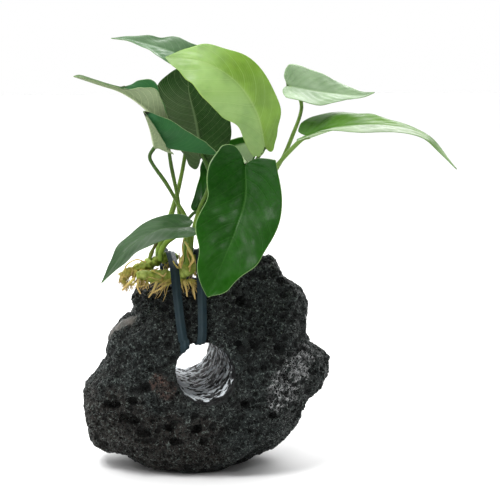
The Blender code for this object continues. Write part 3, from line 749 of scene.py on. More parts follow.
@dataclass(frozen=True)
class VinylFinish:
    """Dark blue-grey vinyl of the ties, with a painted highlight along the rib over the wire."""

    slot: str = "vinyl"
    flat: Colour = screen(27, 42, 48)
    # Paler blue grey along the rib: a painted highlight.
    rib: Colour = screen(38, 53, 59)

    def material(self, effects: Effects) -> bpy.types.Material:
        """Make the material, scuffed along the tie.

        Args:
            effects: The shared shader groups.

        Returns:
            The material.
        """
        board, shader = new_material("tie_vinyl", 0.5, 0.12)
        along, around = board.attribute("along"), board.attribute("around")
        scuffs = board.group(effects.fibres, Along=along, Around=around, Count=60.0).outputs
        tones = board.group(effects.mottling, Place=board.object_place(), Size=0.004).outputs
        # Painted highlight: the rib is lighter than the flat.
        base = board.tint(self.flat, board.step(board.attribute("rib"), 0.2, 0.9), 0.7, self.rib)
        base = board.tint(base, scuffs["Streaks"], 0.35, (0.6, 0.62, 0.66), "MULTIPLY")
        base = board.tint(base, tones["Broad"], 0.2, (0.03, 0.04, 0.04))
        board.put(shader.inputs["Base Color"], base)
        board.put(shader.inputs["Roughness"], board.step(tones["Fine"], 0, 1, 0.36, 0.52))
        height = board.maths("ADD", scuffs["Streaks"], tones["Fine"])
        board.put(shader.inputs["Normal"], board.bump(height, 0.2, 0.0002))
        return owner(shader)


class LeafKind(Enum):
    """The kinds of leaf on this plant, by how their blades look."""

    DARK = LeafFinish(
        slot="leaf_green",
        name="dark_leaf",
        left=screen(26, 74, 8),
        right=screen(20, 66, 4),
        vein=screen(58, 104, 36),
        under=screen(164, 182, 146),
        under_vein=screen(190, 204, 168),
        rim=screen(150, 182, 118),
        wax=0.25,
        # Painted shade towards the joint.
        foot=(0.62, 0.74, 1.0),
        vein_strength=0.08,
    )
    ARCHING = LeafFinish(
        slot="leaf_green",
        name="arching_leaf",
        left=screen(80, 120, 30),
        # Painted glare: the pale grey green right half, lighter than the leaf's own green.
        right=screen(136, 152, 122),
        # Painted shade towards the joint.
        foot=(0.5, 0.74, 0.3),
        vein=screen(120, 158, 84),
        under=screen(150, 174, 130),
        under_vein=screen(180, 198, 152),
        rim=screen(84, 124, 50),
        wax=0.0,
        vein_strength=0.12,
    )
    LIME = LeafFinish(
        slot="leaf_lime",
        name="lime_leaf",
        # Painted sheen: the whitish left half. Painted shade: the deeper yellow green right half, up to
        # near the tip.
        left=screen(140, 172, 98),
        right=screen(116, 152, 48),
        vein=screen(164, 190, 118),
        under=screen(136, 168, 84),
        under_vein=screen(180, 200, 136),
        rim=screen(150, 182, 76),
        roughness=0.42,
        shine=0.3,
        glow=0.08,
        vein_strength=0.16,
        specks=0.0,
    )
    SHADED = LeafFinish(
        slot="leaf_olive",
        name="shaded_leaf",
        left=screen(60, 96, 44),
        right=screen(44, 88, 34),
        vein=screen(100, 132, 74),
        under=screen(18, 58, 2),
        under_right=screen(56, 76, 44),
        under_vein=screen(96, 118, 78),
        rim=screen(84, 112, 60),
        vein_strength=0.3,
        vein_count=12.0,
    )
    GREY = LeafFinish(
        slot="leaf_grey",
        name="grey_leaf",
        left=screen(88, 124, 84),
        right=screen(84, 118, 78),
        vein=screen(132, 160, 120),
        under=screen(120, 148, 100),
        under_vein=screen(170, 186, 140),
        rim=screen(124, 154, 104),
        shine=0.5,
        roughness=0.4,
        # Painted shade towards the joint, for the folded foot.
        foot=(0.34, 0.58, 0.28),
        vein_strength=0.15,
    )
    # A darker copy of the grey leaf's colours: painted shade on the low left leaf.
    DUSKY = LeafFinish(
        slot="leaf_grey",
        name="dusky_leaf",
        left=screen(40, 70, 34),
        right=screen(44, 76, 38),
        vein=screen(96, 126, 80),
        under=screen(96, 124, 80),
        under_vein=screen(140, 160, 112),
        rim=screen(96, 128, 76),
        shine=0.2,
        roughness=0.4,
        vein_strength=0.12,
    )
    # A lighter copy of the grey leaf's colours: painted glare on the upper right leaf.
    PALE = LeafFinish(
        slot="leaf_grey",
        name="pale_leaf",
        left=screen(122, 150, 108),
        right=screen(132, 160, 118),
        vein=screen(160, 188, 140),
        under=screen(130, 156, 108),
        under_vein=screen(178, 192, 150),
        rim=screen(120, 152, 88),
        shine=0.6,
        roughness=0.4,
        vein_strength=0.15,
    )
    FOLDED = LeafFinish(
        slot="leaf_under",
        name="folded_leaf",
        left=screen(42, 96, 58),
        right=screen(46, 98, 54),
        vein=screen(80, 124, 70),
        under=screen(112, 130, 92),
        under_right=screen(104, 122, 86),
        under_vein=screen(178, 188, 150),
        rim=screen(150, 170, 120),
        vein_strength=0.3,
        vein_count=12.0,
    )


# --------------------------------------------------------------------------------------------
# Curves, sweeps and the ways that every piece is finished
# --------------------------------------------------------------------------------------------


def spline(points: Sequence[Point], steps: int) -> np.ndarray:
    """Return points along a Catmull-Rom curve.

    Args:
        points: The points that the curve goes through.
        steps: How many points it gets for each span between them.

    Returns:
        An array with a row for each point.
    """
    given = np.array([tuple(p) for p in points], float)
    knots = np.vstack([2 * given[0] - given[1], given, 2 * given[-1] - given[-2]])
    made = []
    for i in range(1, len(knots) - 2):
        a, b, c, d = knots[i - 1 : i + 3]
        t = np.linspace(0, 1, steps, endpoint=False)[:, None]
        made.append(
            0.5
            * (
                2 * b
                + (c - a) * t
                + (2 * a - 5 * b + 4 * c - d) * t**2
                + (3 * b - a - 3 * c + d) * t**3
            )
        )
    return np.vstack([*made, given[-1:]])


def length_shares(points: np.ndarray) -> np.ndarray:
    """Return each point's share of the whole length of the path."""
    total = np.concatenate([[0.0], np.cumsum(np.linalg.norm(np.diff(points, axis=0), axis=1))])
    return total / total[-1]


def unit(rows: np.ndarray) -> np.ndarray:
    """Return each row scaled to a length of 1."""
    return rows / np.maximum(np.linalg.norm(rows, axis=-1, keepdims=True), 1e-12)


def finish_mesh(bm: bmesh.types.BMesh, name: str, matrix: Matrix | None = TO_PART) -> bpy.types.Object:
    """Turn a bmesh into a smooth object in the part's frame, with its place in its mesh.

    Args:
        bm: The mesh, which is freed.
        name: The piece's name.
        matrix: What takes it to the part's frame in metres, or None if it is there.

    Returns:
        The object, linked to the scene.
    """
    if matrix:
        bmesh.ops.transform(bm, matrix=matrix, verts=bm.verts)
    data = bpy.data.meshes.new(name)
    bm.to_mesh(data)
    bm.free()
    data.shade_smooth()
    made = bpy.data.objects.new(name, data)
    bpy.context.scene.collection.objects.link(made)
    return made


def apply_modifiers(piece: bpy.types.Object) -> None:
    """Replace the piece's mesh by what its modifiers make of it.

    Args:
        piece: The piece, whose modifiers are cleared.
    """
    ready = piece.evaluated_get(bpy.context.evaluated_depsgraph_get())
    data = bpy.data.meshes.new_from_object(ready)
    piece.modifiers.clear()
    old = piece.data
    piece.data = data
    bpy.data.meshes.remove(old)
    data.name = piece.name


def hand_over(piece: bpy.types.Object, nodes: Iterable[str] = ()) -> None:
    """Tie a piece to the frame, in place of the nodes that it stands for.

    Args:
        piece: The finished piece.
        nodes: The solids that it stands for, if any.
    """
    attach(piece, BODY)
    nodes = tuple(nodes)
    if nodes:
        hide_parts(*nodes)
    LOG.info("%s: %d triangles", piece.name, sum(len(p.vertices) - 2 for p in piece.data.polygons))


@dataclass
class Sweep:
    """A tube along a path, with a radius at each point, and the attributes that finishes read."""

    path: np.ndarray
    radii: np.ndarray
    sides: int = 12
    flatness: float = 1.0
    lean: Vector = field(default_factory=lambda: Vector((0.3, -1.0, 0.2)))

    def frames(self) -> tuple[np.ndarray, np.ndarray]:
        """Work out two directions across the path at each of its points, without a twist.

        Returns:
            Both directions, each with a row for each point.
        """
        along = unit(np.gradient(self.path, axis=0))
        first = np.array(self.lean) - along[0] * np.dot(self.lean, along[0])
        across = [unit(first)]
        for tangent in along[1:]:
            turned = across[-1] - tangent * np.dot(across[-1], tangent)
            across.append(unit(turned))
        rows = np.array(across)
        return rows, np.cross(along, rows)

    def add_to(self, bm: bmesh.types.BMesh) -> None:
        """Add the tube to a bmesh: a grid rolled round the path, sewn up and capped.

        Args:
            bm: The mesh that it goes into.
        """
        layers = [attribute_layer(bm, name) for name in ("along", "around", "old")]
        count = len(self.path)
        made = bmesh.ops.create_grid(bm, x_segments=self.sides, y_segments=count - 1, size=1.0)
        first, second = self.frames()
        shares = length_shares(self.path)
        verts = made["verts"]
        for vertex in verts:
            turn, step = vertex.co.x, round((vertex.co.y + 1) / 2 * (count - 1))
            angle = math.pi * turn
            out = first[step] * math.cos(angle) + second[step] * math.sin(angle) * self.flatness
            vertex[layers[0]] = float(shares[step])
            vertex[layers[1]] = abs(turn)
            vertex.co = self.path[step] + out * self.radii[step]
        gap = float(self.radii.min()) * 0.02
        bmesh.ops.remove_doubles(bm, verts=verts, dist=gap)
        rims = [e for v in verts if v.is_valid for e in v.link_edges if e.is_boundary]
        bmesh.ops.holes_fill(bm, edges=list(set(rims)), sides=0)


def attribute_layer(bm: bmesh.types.BMesh, name: str) -> bmesh.types.BMLayerItem:
    """Return the mesh's float attribute of this name, making it at its first use."""
    layers = bm.verts.layers.float
    return layers.get(name) or layers.new(name)


def swept(path: np.ndarray, radii: np.ndarray, **shape: object) -> bmesh.types.BMesh:
    """Build one swept tube.

    Args:
        path: Its path, a row for each point.
        radii: Its radius at each of them.
        **shape: Other fields of the sweep.

    Returns:
        A bmesh that holds it.
    """
    bm = bmesh.new()
    Sweep(path, radii, **shape).add_to(bm)
    bmesh.ops.recalc_face_normals(bm, faces=bm.faces)
    return bm


# --------------------------------------------------------------------------------------------
# The stone
# --------------------------------------------------------------------------------------------

# The drilled hole, in the part's frame: its middle, (x, z), and its radius.
HOLE_MIDDLE = (-1.7, 47.7)
HOLE_RADIUS = 12.6

# Into how many sectors round its axis the hole's wall is parted to find its ragged mouth.
MOUTH_SECTORS = 72

# The large open bubbles in the stone's front, in the plant's frame: middle and radii.
PITS = (
    ((-21, -36, 42), (2.4, 3, 1.8)),
    ((-29, -32.5, 27), (5.8, 5, 3.2)),
    ((-36, -29.5, 33), (4.6, 4, 1.9)),
    ((-22, -33.5, 21), (3.2, 3.5, 1.8)),
    ((-27, -34, 35.5), (2.5, 3, 1.4)),
    ((-11, -34, 24), (2.2, 3, 1.8)),
    ((1, -36.5, 24), (2.2, 3, 1.7)),
    ((4, -34.5, 17.5), (2.0, 3, 1.6)),
    ((-9, -33.5, 17.5), (2.2, 3, 1.8)),
    ((22, -35.5, 35), (2.0, 3, 1.8)),
    ((34, -32.5, 29), (1.7, 2.5, 1.5)),
    ((20, -18.5, 77), (2.2, 3.5, 2.2)),
    ((27, -28, 60), (3.0, 3, 2.6)),
    ((37, -26, 57), (3.0, 3.5, 2.6)),
    ((19, -29, 60), (1.6, 2.5, 1.5)),
)


@dataclass
class LavaStone:
    """The porous stone, its drilled hole and the patches that differ on it."""

    effects: Effects
    finish: LavaFinish = LavaFinish()
    voxel: float = 0.52
    kept: int = 190000
    seed: int = 41
    pore_count: int = 7500
    pore_smallest: float = 0.5
    pore_typical: float = 0.28
    pore_largest: float = 1.9
    rough_height: float = 0.6
    thread_height: float = 0.8
    pit_extra: float = 0.8
    rust_spots: tuple = ((-15, -36, 44), (-12, -36, 41.5))
    rust_radius: float = 4.0
    glassy_spots: tuple = ((-39, -11, 63), (-34.5, -13, 66), (-30.5, -15, 68.5))
    glassy_radius: float = 4.0
    worn_line: tuple = ((52, -18, 55), (49, -23, 50), (44, -26, 47), (39, -29, 42), (36, -30, 37))
    worn_radius: float = 7.0
    worn_edge: tuple = ((49.5, -10, 70), (50.5, -11, 64), (52, -12, 59), (54, -14, 55))
    worn_edge_radius: float = 1.5
    brown_spots: tuple = ((-40, -26, 22), (-26, -34, 14), (-8, -36, 12))
    brown_radius: float = 20.0

    def build(self) -> bpy.types.Object:
        """Build the stone.

        Returns:
            The finished piece.
        """
        stone = self.fine_copy()
        spots, outward = self.surface(stone)
        bore = self.bore_share(spots, outward)
        glassy = self.patch_share(spots, self.glassy_spots, self.glassy_radius)
        base = np.clip((spots[:, 2] - 0.2) / 1.5, 0, 1)
        quiet = (1 - bore) * (1 - 0.9 * glassy) * base
        pore = self.pores(spots, quiet)
        rough = self.roughness(spots) * quiet
        threads = self.threads(spots) * bore
        pits = self.pit_share(spots)
        spots = spots + outward * (rough - pore * quiet - threads - self.pit_extra * pits)[:, None]
        spots[:, 2] = np.maximum(spots[:, 2], 0.0)
        stone.data.vertices.foreach_set("co", (spots * MM).ravel())
        # Where the finish paints shade into bubbles and pits.
        self.store(stone, "pore", np.clip(np.maximum(pore * quiet / 0.9, pits), 0, 1))
        self.store(stone, "bore", bore)
        self.store(stone, "depth", self.mouth_depth(spots, bore))
        self.store(stone, "glassy", glassy)
        self.store(stone, "rust", self.patch_share(spots, self.rust_spots, self.rust_radius))
        self.store(stone, "brown", self.patch_share(spots, self.brown_spots, self.brown_radius))
        worn = self.patch_share(spots, spline(self.worn_line, 6), self.worn_radius)
        edge = self.patch_share(spots, spline(self.worn_edge, 6), self.worn_edge_radius)
        self.store(stone, "worn", np.maximum(worn, edge))
        self.thin_out(stone)
        stone.data.shade_smooth()
        stone.data.materials.clear()
        stone.data.materials.append(self.finish.material(self.effects))
        hand_over(stone, ["lava_stone"])
        return stone

    def fine_copy(self) -> bpy.types.Object:
        """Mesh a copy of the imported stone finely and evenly, its facets softened.

        Returns:
            The copy.
        """
        source = bpy.data.objects["lava_stone"]
        bm = bmesh.new()
        bm.from_mesh(source.data)
        bmesh.ops.remove_doubles(bm, verts=bm.verts, dist=0.001 * MM)
        stone = finish_mesh(bm, "stone", None)
        remesh = stone.modifiers.new("fine", "REMESH")
        remesh.mode = "VOXEL"
        remesh.voxel_size = self.voxel * MM
        soften = stone.modifiers.new("soften", "SMOOTH")
        soften.factor = 0.5
        soften.iterations = 6
        apply_modifiers(stone)
        return stone

    def thin_out(self, stone: bpy.types.Object) -> None:
        """Join the smallest facets, where the stone is smooth, until few enough are left.

        Args:
            stone: The stone.
        """
        stone.data.update()
        facets = sum(len(p.vertices) - 2 for p in stone.data.polygons)
        fewer = stone.modifiers.new("fewer", "DECIMATE")
        fewer.ratio = min(self.kept / facets, 1.0)
        apply_modifiers(stone)

    @staticmethod
    def surface(stone: bpy.types.Object) -> tuple[np.ndarray, np.ndarray]:
        """Read the stone's surface.

        Args:
            stone: The stone.

        Returns:
            The place of each vertex in millimetres, and its outward direction.
        """
        count = len(stone.data.vertices)
        spots, outward = np.empty(count * 3), np.empty(count * 3)
        stone.data.vertices.foreach_get("co", spots)
        stone.data.vertices.foreach_get("normal", outward)
        return spots.reshape(-1, 3) / MM, outward.reshape(-1, 3)

    def bore_share(self, spots: np.ndarray, outward: np.ndarray) -> np.ndarray:
        """Work out how far each spot belongs to the wall of the drilled hole.

        Args:
            spots: The stone's vertices, in millimetres.
            outward: Their outward directions.

        Returns:
            1 on the wall, falling to 0 just outside it.
        """
        out = spots[:, [0, 2]] - HOLE_MIDDLE
        far = np.linalg.norm(out, axis=1)
        inward = -(out * outward[:, [0, 2]]).sum(axis=1) / np.maximum(far, 1e-6)
        near = np.clip((HOLE_RADIUS + 1.0 - far) / 0.8, 0, 1)
        return near * np.clip(inward * 2 - 0.6, 0, 1)

    @staticmethod
    def mouth_depth(spots: np.ndarray, bore: np.ndarray) -> np.ndarray:
        """Measure how deep each spot of the drilled wall lies behind the hole's mouth.

        Args:
            spots: The stone's vertices, in millimetres.
            bore: Share of the drilled wall at each of them.

        Returns:
            The depths in centimetres, 0 off the wall.
        """
        out = spots[:, [0, 2]] - HOLE_MIDDLE
        turn = np.arctan2(out[:, 1], out[:, 0]) / math.tau + 0.5
        sector = (turn * (MOUTH_SECTORS - 1)).astype(int)
        depth = np.zeros(len(spots))
        for number in range(MOUTH_SECTORS):
            wall = (sector == number) & (bore > 0.5)
            if wall.any():
                depth[wall] = (spots[wall, 1] - spots[wall, 1].min()) / 10
        return depth

    def patch_share(self, spots: np.ndarray, middles: Sequence, radius: float) -> np.ndarray:
        """Work out how far each spot lies in a patch, with a ragged edge.

        Args:
            spots: The stone's vertices, in millimetres.
            middles: The patch's middles, in the plant's frame.
            radius: How far the patch reaches from them, in millimetres.

        Returns:
            A share from 0 to 1 for each spot.
        """
        turned = [Matrix.Rotation(PLANT_TURN, 3, "Z") @ Vector(tuple(m)) for m in middles]
        far = np.min([np.linalg.norm(spots - np.array(m), axis=1) for m in turned], axis=0)
        share = np.zeros(len(spots))
        for i in np.nonzero(far < 1.5 * radius)[0]:
            ragged = radius * (1 + 0.5 * noise.noise(Vector(spots[i]) / (0.35 * radius)))
            share[i] = min(max((ragged - far[i]) / (0.35 * radius) + 0.5, 0), 1)
        return share

    @staticmethod
    def pit_share(spots: np.ndarray) -> np.ndarray:
        """Work out how far each spot lies in one of the large open bubbles.

        Args:
            spots: The stone's vertices, in millimetres.

        Returns:
            1 inside them, falling to 0 at their rims.
        """
        turn = np.array(Matrix.Rotation(-PLANT_TURN, 3, "Z"))
        own = spots @ turn.T
        far = np.min([np.linalg.norm((own - middle) / radii, axis=1) for middle, radii in PITS], axis=0)
        for i in np.nonzero(far < 1.6)[0]:
            far[i] += 0.3 * noise.noise(Vector(spots[i]) / 1.3)
        return np.clip((1.1 - far) / 0.3, 0, 1)

    def pores(self, spots: np.ndarray, quiet: np.ndarray) -> np.ndarray:
        """Cut open gas bubbles at random places.

        Args:
            spots: The stone's vertices, in millimetres.
            quiet: How readily each of them holds a bubble, from 0 to 1.

        Returns:
            How deep each spot lies in one, in millimetres.
        """
        tree = KDTree(len(spots))
        for i, spot in enumerate(spots):
            tree.insert(spot, i)
        tree.balance()
        rng = np.random.default_rng(self.seed)
        pick = rng.choice(len(spots), self.pore_count, p=quiet / quiet.sum())
        radii = self.pore_smallest + rng.exponential(self.pore_typical, self.pore_count)
        depth = np.zeros(len(spots))
        for i, radius in zip(pick, np.minimum(radii, self.pore_largest)):
            for _, k, far in tree.find_range(spots[i], radius):
                bowl = 1.05 * radius * math.sqrt(max(1 - (far / radius) ** 2, 0))
                depth[k] = max(depth[k], bowl)
        return depth

    def roughness(self, spots: np.ndarray) -> np.ndarray:
        """Return the height of the broken, gritty surface between the pores."""
        made = [noise.fractal(Vector(s) / 3.4, 0.7, 2.1, 4) for s in spots]
        return np.array(made) * self.rough_height

    def threads(self, spots: np.ndarray) -> np.ndarray:
        """Return the depth of the torn rings that the drill left in the wall of its hole."""
        made = [noise.fractal(Vector(s) / 2.6, 0.7, 2.1, 2) for s in spots]
        return np.clip(np.array(made), -0.3, 1) * self.thread_height

    @staticmethod
    def store(stone: bpy.types.Object, name: str, values: np.ndarray) -> None:
        """Keep a value for each vertex as an attribute that the finish reads."""
        layer = stone.data.attributes.new(name, "FLOAT", "POINT")
        layer.data.foreach_set("value", values.astype(np.float32))


# --------------------------------------------------------------------------------------------
# The leaves
# --------------------------------------------------------------------------------------------

# Share of the midrib's length at which a blade is widest.
BLADE_WIDEST = 0.25

# Outline of half a blade: share of the lobe behind the joint (below 0) or of the midrib's
# length (above 0), and share of the half width.
BLADE_OUTLINE = (
    (0.00, 0.00),
    (-0.62, 0.14),
    (-1.00, 0.40),
    (-0.75, 0.72),
    (0.00, 0.93),
    (BLADE_WIDEST, 1.00),
    (0.50, 0.86),
    (0.75, 0.50),
    (0.92, 0.16),
    (1.00, 0.00),
)

# The same for a blade that is rolled up thin over the half of its length at its tip, and for
# a blade that is widest beside its joint.
ROLLED_OUTLINE = (
    (0.00, 0.00),
    (-1.00, 0.10),
    (0.00, 0.16),
    (0.09, 0.36),
    (0.21, 0.66),
    (0.33, 1.00),
    (0.42, 0.76),
    (0.48, 0.40),
    (0.56, 0.15),
    (0.78, 0.13),
    (0.93, 0.17),
    (1.00, 0.00),
)
WEDGE_OUTLINE = (
    (0.00, 0.00),
    (-0.45, 0.45),
    (-0.90, 0.90),
    (-0.80, 1.00),
    (0.00, 0.70),
    (0.25, 0.54),
    (0.50, 0.37),
    (0.75, 0.20),
    (0.92, 0.08),
    (1.00, 0.00),
)


@dataclass(frozen=True)
class Leaf:
    """One leaf, as the solids have it: its blade along the midrib, and its stalk."""

    kind: LeafKind
    midrib: tuple
    half_widths: tuple
    lobes: tuple
    faces: tuple
    petiole: tuple
    fold: tuple = (8, 8)
    unfold: float = 0.0
    outline: tuple = BLADE_OUTLINE
    fullness: tuple = (0.0, 0.0)
    taper: tuple = (0.0, 0.0)
    blunt: tuple = (0.0, 0.0)
    wave: tuple = (0.8, 3, 0.0)
    scallop: float = 0.02
    pale: float = 1.0
    pale_side: float = 2.0
    spoiled: float = 1.0
    petiole_radii: tuple = (1.6, 1.0)
    light_stalk: bool = False


LEAVES = {
    "front_large": Leaf(
        kind=LeafKind.DARK,
        midrib=(
            (22, -22, 137),
            (22, -27, 123),
            (18, -32, 110),
            (12.5, -36, 97),
            (6, -40, 82.5),
        ),
        half_widths=(16.5, 15.2),
        lobes=(9, 3),
        faces=((0.1, -0.9, 0.3), (-0.1, -0.9, 0.4)),
        fold=(4, 4),
        fullness=(0.7, 0.9),
        blunt=(0.12, 0.14),
        wave=(0.8, 2.5, 0.1),
        scallop=0.06,
        petiole=((9, -11, 96), (10.5, -11, 108), (15, -13, 123), (20, -18, 134)),
        petiole_radii=(1.7, 1.1),
    ),
    "young_lime": Leaf(
        kind=LeafKind.LIME,
        midrib=((31, 0, 143), (27, -8, 159), (18, -14, 172.5), (4, -15, 181), (-13, -10, 183)),
        half_widths=(10.5, 11),
        lobes=(3, 3),
        taper=(0.55, 0.3),
        faces=((0.1, -0.8, 0.4), (-0.1, -0.9, 0.4)),
        fold=(6, 0),
        fullness=(1.1, 2.4),
        scallop=0.04,
        petiole=((8, -7, 97), (14, -3, 113), (23, 2, 131)),
    ),
    "shaded_middle": Leaf(
        kind=LeafKind.SHADED,
        midrib=((2, 5, 141), (0, 3, 155), (-3, -1, 169), (-3, -5, 181)),
        half_widths=(18, 15.5),
        lobes=(8, 8),
        faces=((0.1, 0.9, 0.4), (0.1, 0.9, 0.4)),
        fold=(4, 4),
        fullness=(1.0, 0.1),
        taper=(0.5, 0.15),
        petiole=((-2.6, -9.5, 92), (-1.6, -8.5, 104), (1, -5, 115), (5, -1, 124), (6, 2, 131)),
        petiole_radii=(1.3, 1.0),
    ),
    "top_left": Leaf(
        kind=LeafKind.GREY,
        midrib=((-3, 8, 182), (-12, 8.5, 186), (-22, 9, 189), (-30, 9, 191), (-38, 8, 191.5)),
        half_widths=(9.5, 9),
        lobes=(4, 3),
        faces=((0.1, -0.62, 0.78), (0.1, -0.55, 0.85)),
        fold=(8, 8),
        fullness=(-0.9, -1.1),
        taper=(0.0, 0.3),
        wave=(1.0, 2.5, 0.3),
        scallop=0.07,
        petiole=(
            (-17, -0.8, 93.3),
            (-16.9, 0.8, 98),
            (-14.5, 3, 104.5),
            (-10, 8, 118),
            (-6, 12, 136),
            (-3, 13, 159),
        ),
        petiole_radii=(1.8, 1.0),
    ),
    "left_folded": Leaf(
        kind=LeafKind.FOLDED,
        midrib=(
            (-13, -6, 153),
            (-20, -7.5, 160),
            (-26, -9, 165),
            (-33, -11, 169),
            (-41, -13, 171.5),
            (-52, -16, 175),
        ),
        half_widths=(14, 14),
        lobes=(1, 1),
        faces=((0.1, -0.1, 0.9), (0.2, -0.2, 1.0)),
        fold=(56, 56),
        unfold=0.6,
        outline=ROLLED_OUTLINE,
        wave=(0.3, 3, 0.0),
        pale=0.5,
        petiole=(
            (-16, -4.2, 92.5),
            (-15.9, -4.0, 96.5),
            (-13.4, -3.5, 100.8),
            (-8, -2.5, 106),
            (-8, -3, 119),
            (-11, -2.5, 135),
            (-12.5, -3, 146),
        ),
        petiole_radii=(1.5, 1.0),
    ),
    "left_inner": Leaf(
        kind=LeafKind.FOLDED,
        midrib=((-17, -9, 144), (-18.5, -13, 151), (-20, -17.5, 156), (-21.5, -21, 160)),
        half_widths=(26, 9.5),
        lobes=(12, 1.5),
        faces=((0.96, -0.24, -0.12), (0.97, -0.22, 0.02)),
        fold=(67, 67),
        outline=WEDGE_OUTLINE,
        wave=(0.4, 2, 0.0),
        spoiled=0.86,
        petiole=(
            (-4, -12.4, 89.5),
            (-3, -11, 101),
            (-4, -8, 111),
            (-8, -8, 119),
            (-13, -9, 128),
            (-18.5, -9.5, 136),
            (-20, -9.5, 140),
        ),
        petiole_radii=(1.5, 1.0),
    ),
    "behind_front": Leaf(
        kind=LeafKind.DARK,
        midrib=((1, 1, 115), (11, 6, 125), (22, 10, 137), (29, 9, 144)),
        half_widths=(9, 9.5),
        lobes=(2, 2),
        faces=((-0.1, -0.9, 0.2), (-0.1, -0.8, 0.5)),
        fullness=(0.0, 3.2),
        taper=(0.0, 0.5),
        blunt=(0.0, 0.3),
        pale=0.45,
        pale_side=0.82,
        petiole=((-5.8, -9.2, 90), (-4.8, -5.6, 100), (-4.4, -3, 109), (-2, 0, 113)),
        petiole_radii=(1.2, 0.9),
    ),
    "lower_left": Leaf(
        kind=LeafKind.DUSKY,
        midrib=((-3, -18, 110), (-16, -22, 109), (-29, -26, 101), (-40, -30, 87)),
        half_widths=(8, 11),
        lobes=(3, 3),
        faces=((0.0, -0.4, 0.9), (-0.5, -0.5, 0.6)),
        scallop=0.05,
        petiole=((6.5, -12, 94), (8, -16.5, 101), (5, -18.5, 106), (0.5, -18.5, 107.8)),
        petiole_radii=(1.3, 0.9),
    ),
    "upper_right": Leaf(
        kind=LeafKind.PALE,
        midrib=((41.5, 2, 170.5), (54, 3, 168), (66, 5, 166.5), (74, 6.5, 166), (80, 8, 167.5)),
        half_widths=(12, 13),
        lobes=(3, 3),
        faces=((0.1, -0.7, 0.8), (0.1, -0.5, 0.9)),
        fullness=(-0.9, -0.5),
        petiole=((15, -6.5, 96), (25, 1, 117), (37, 4, 135), (43, 5, 148), (47, 5, 160), (45, 3, 167)),
        petiole_radii=(1.5, 1.05),
        light_stalk=True,
    ),
    "arching_right": Leaf(
        kind=LeafKind.ARCHING,
        midrib=((50, -4, 149), (63, -10, 153), (83, -17, 154), (100, -23, 149.5), (112, -30, 136)),
        half_widths=(10.5, 12.5),
        lobes=(4, 6),
        faces=((0.0, -0.3, 0.95), (0.4, -0.3, 0.85)),
        fold=(8, 25),
        unfold=1.7,
        fullness=(0.0, -1.3),
        petiole=((11.5, -7.5, 97), (22, -4, 116), (35, -2, 134), (46, -2, 146)),
        petiole_radii=(1.6, 1.2),
        light_stalk=True,
        scallop=0.05,
        pale=0.8,
    ),
}


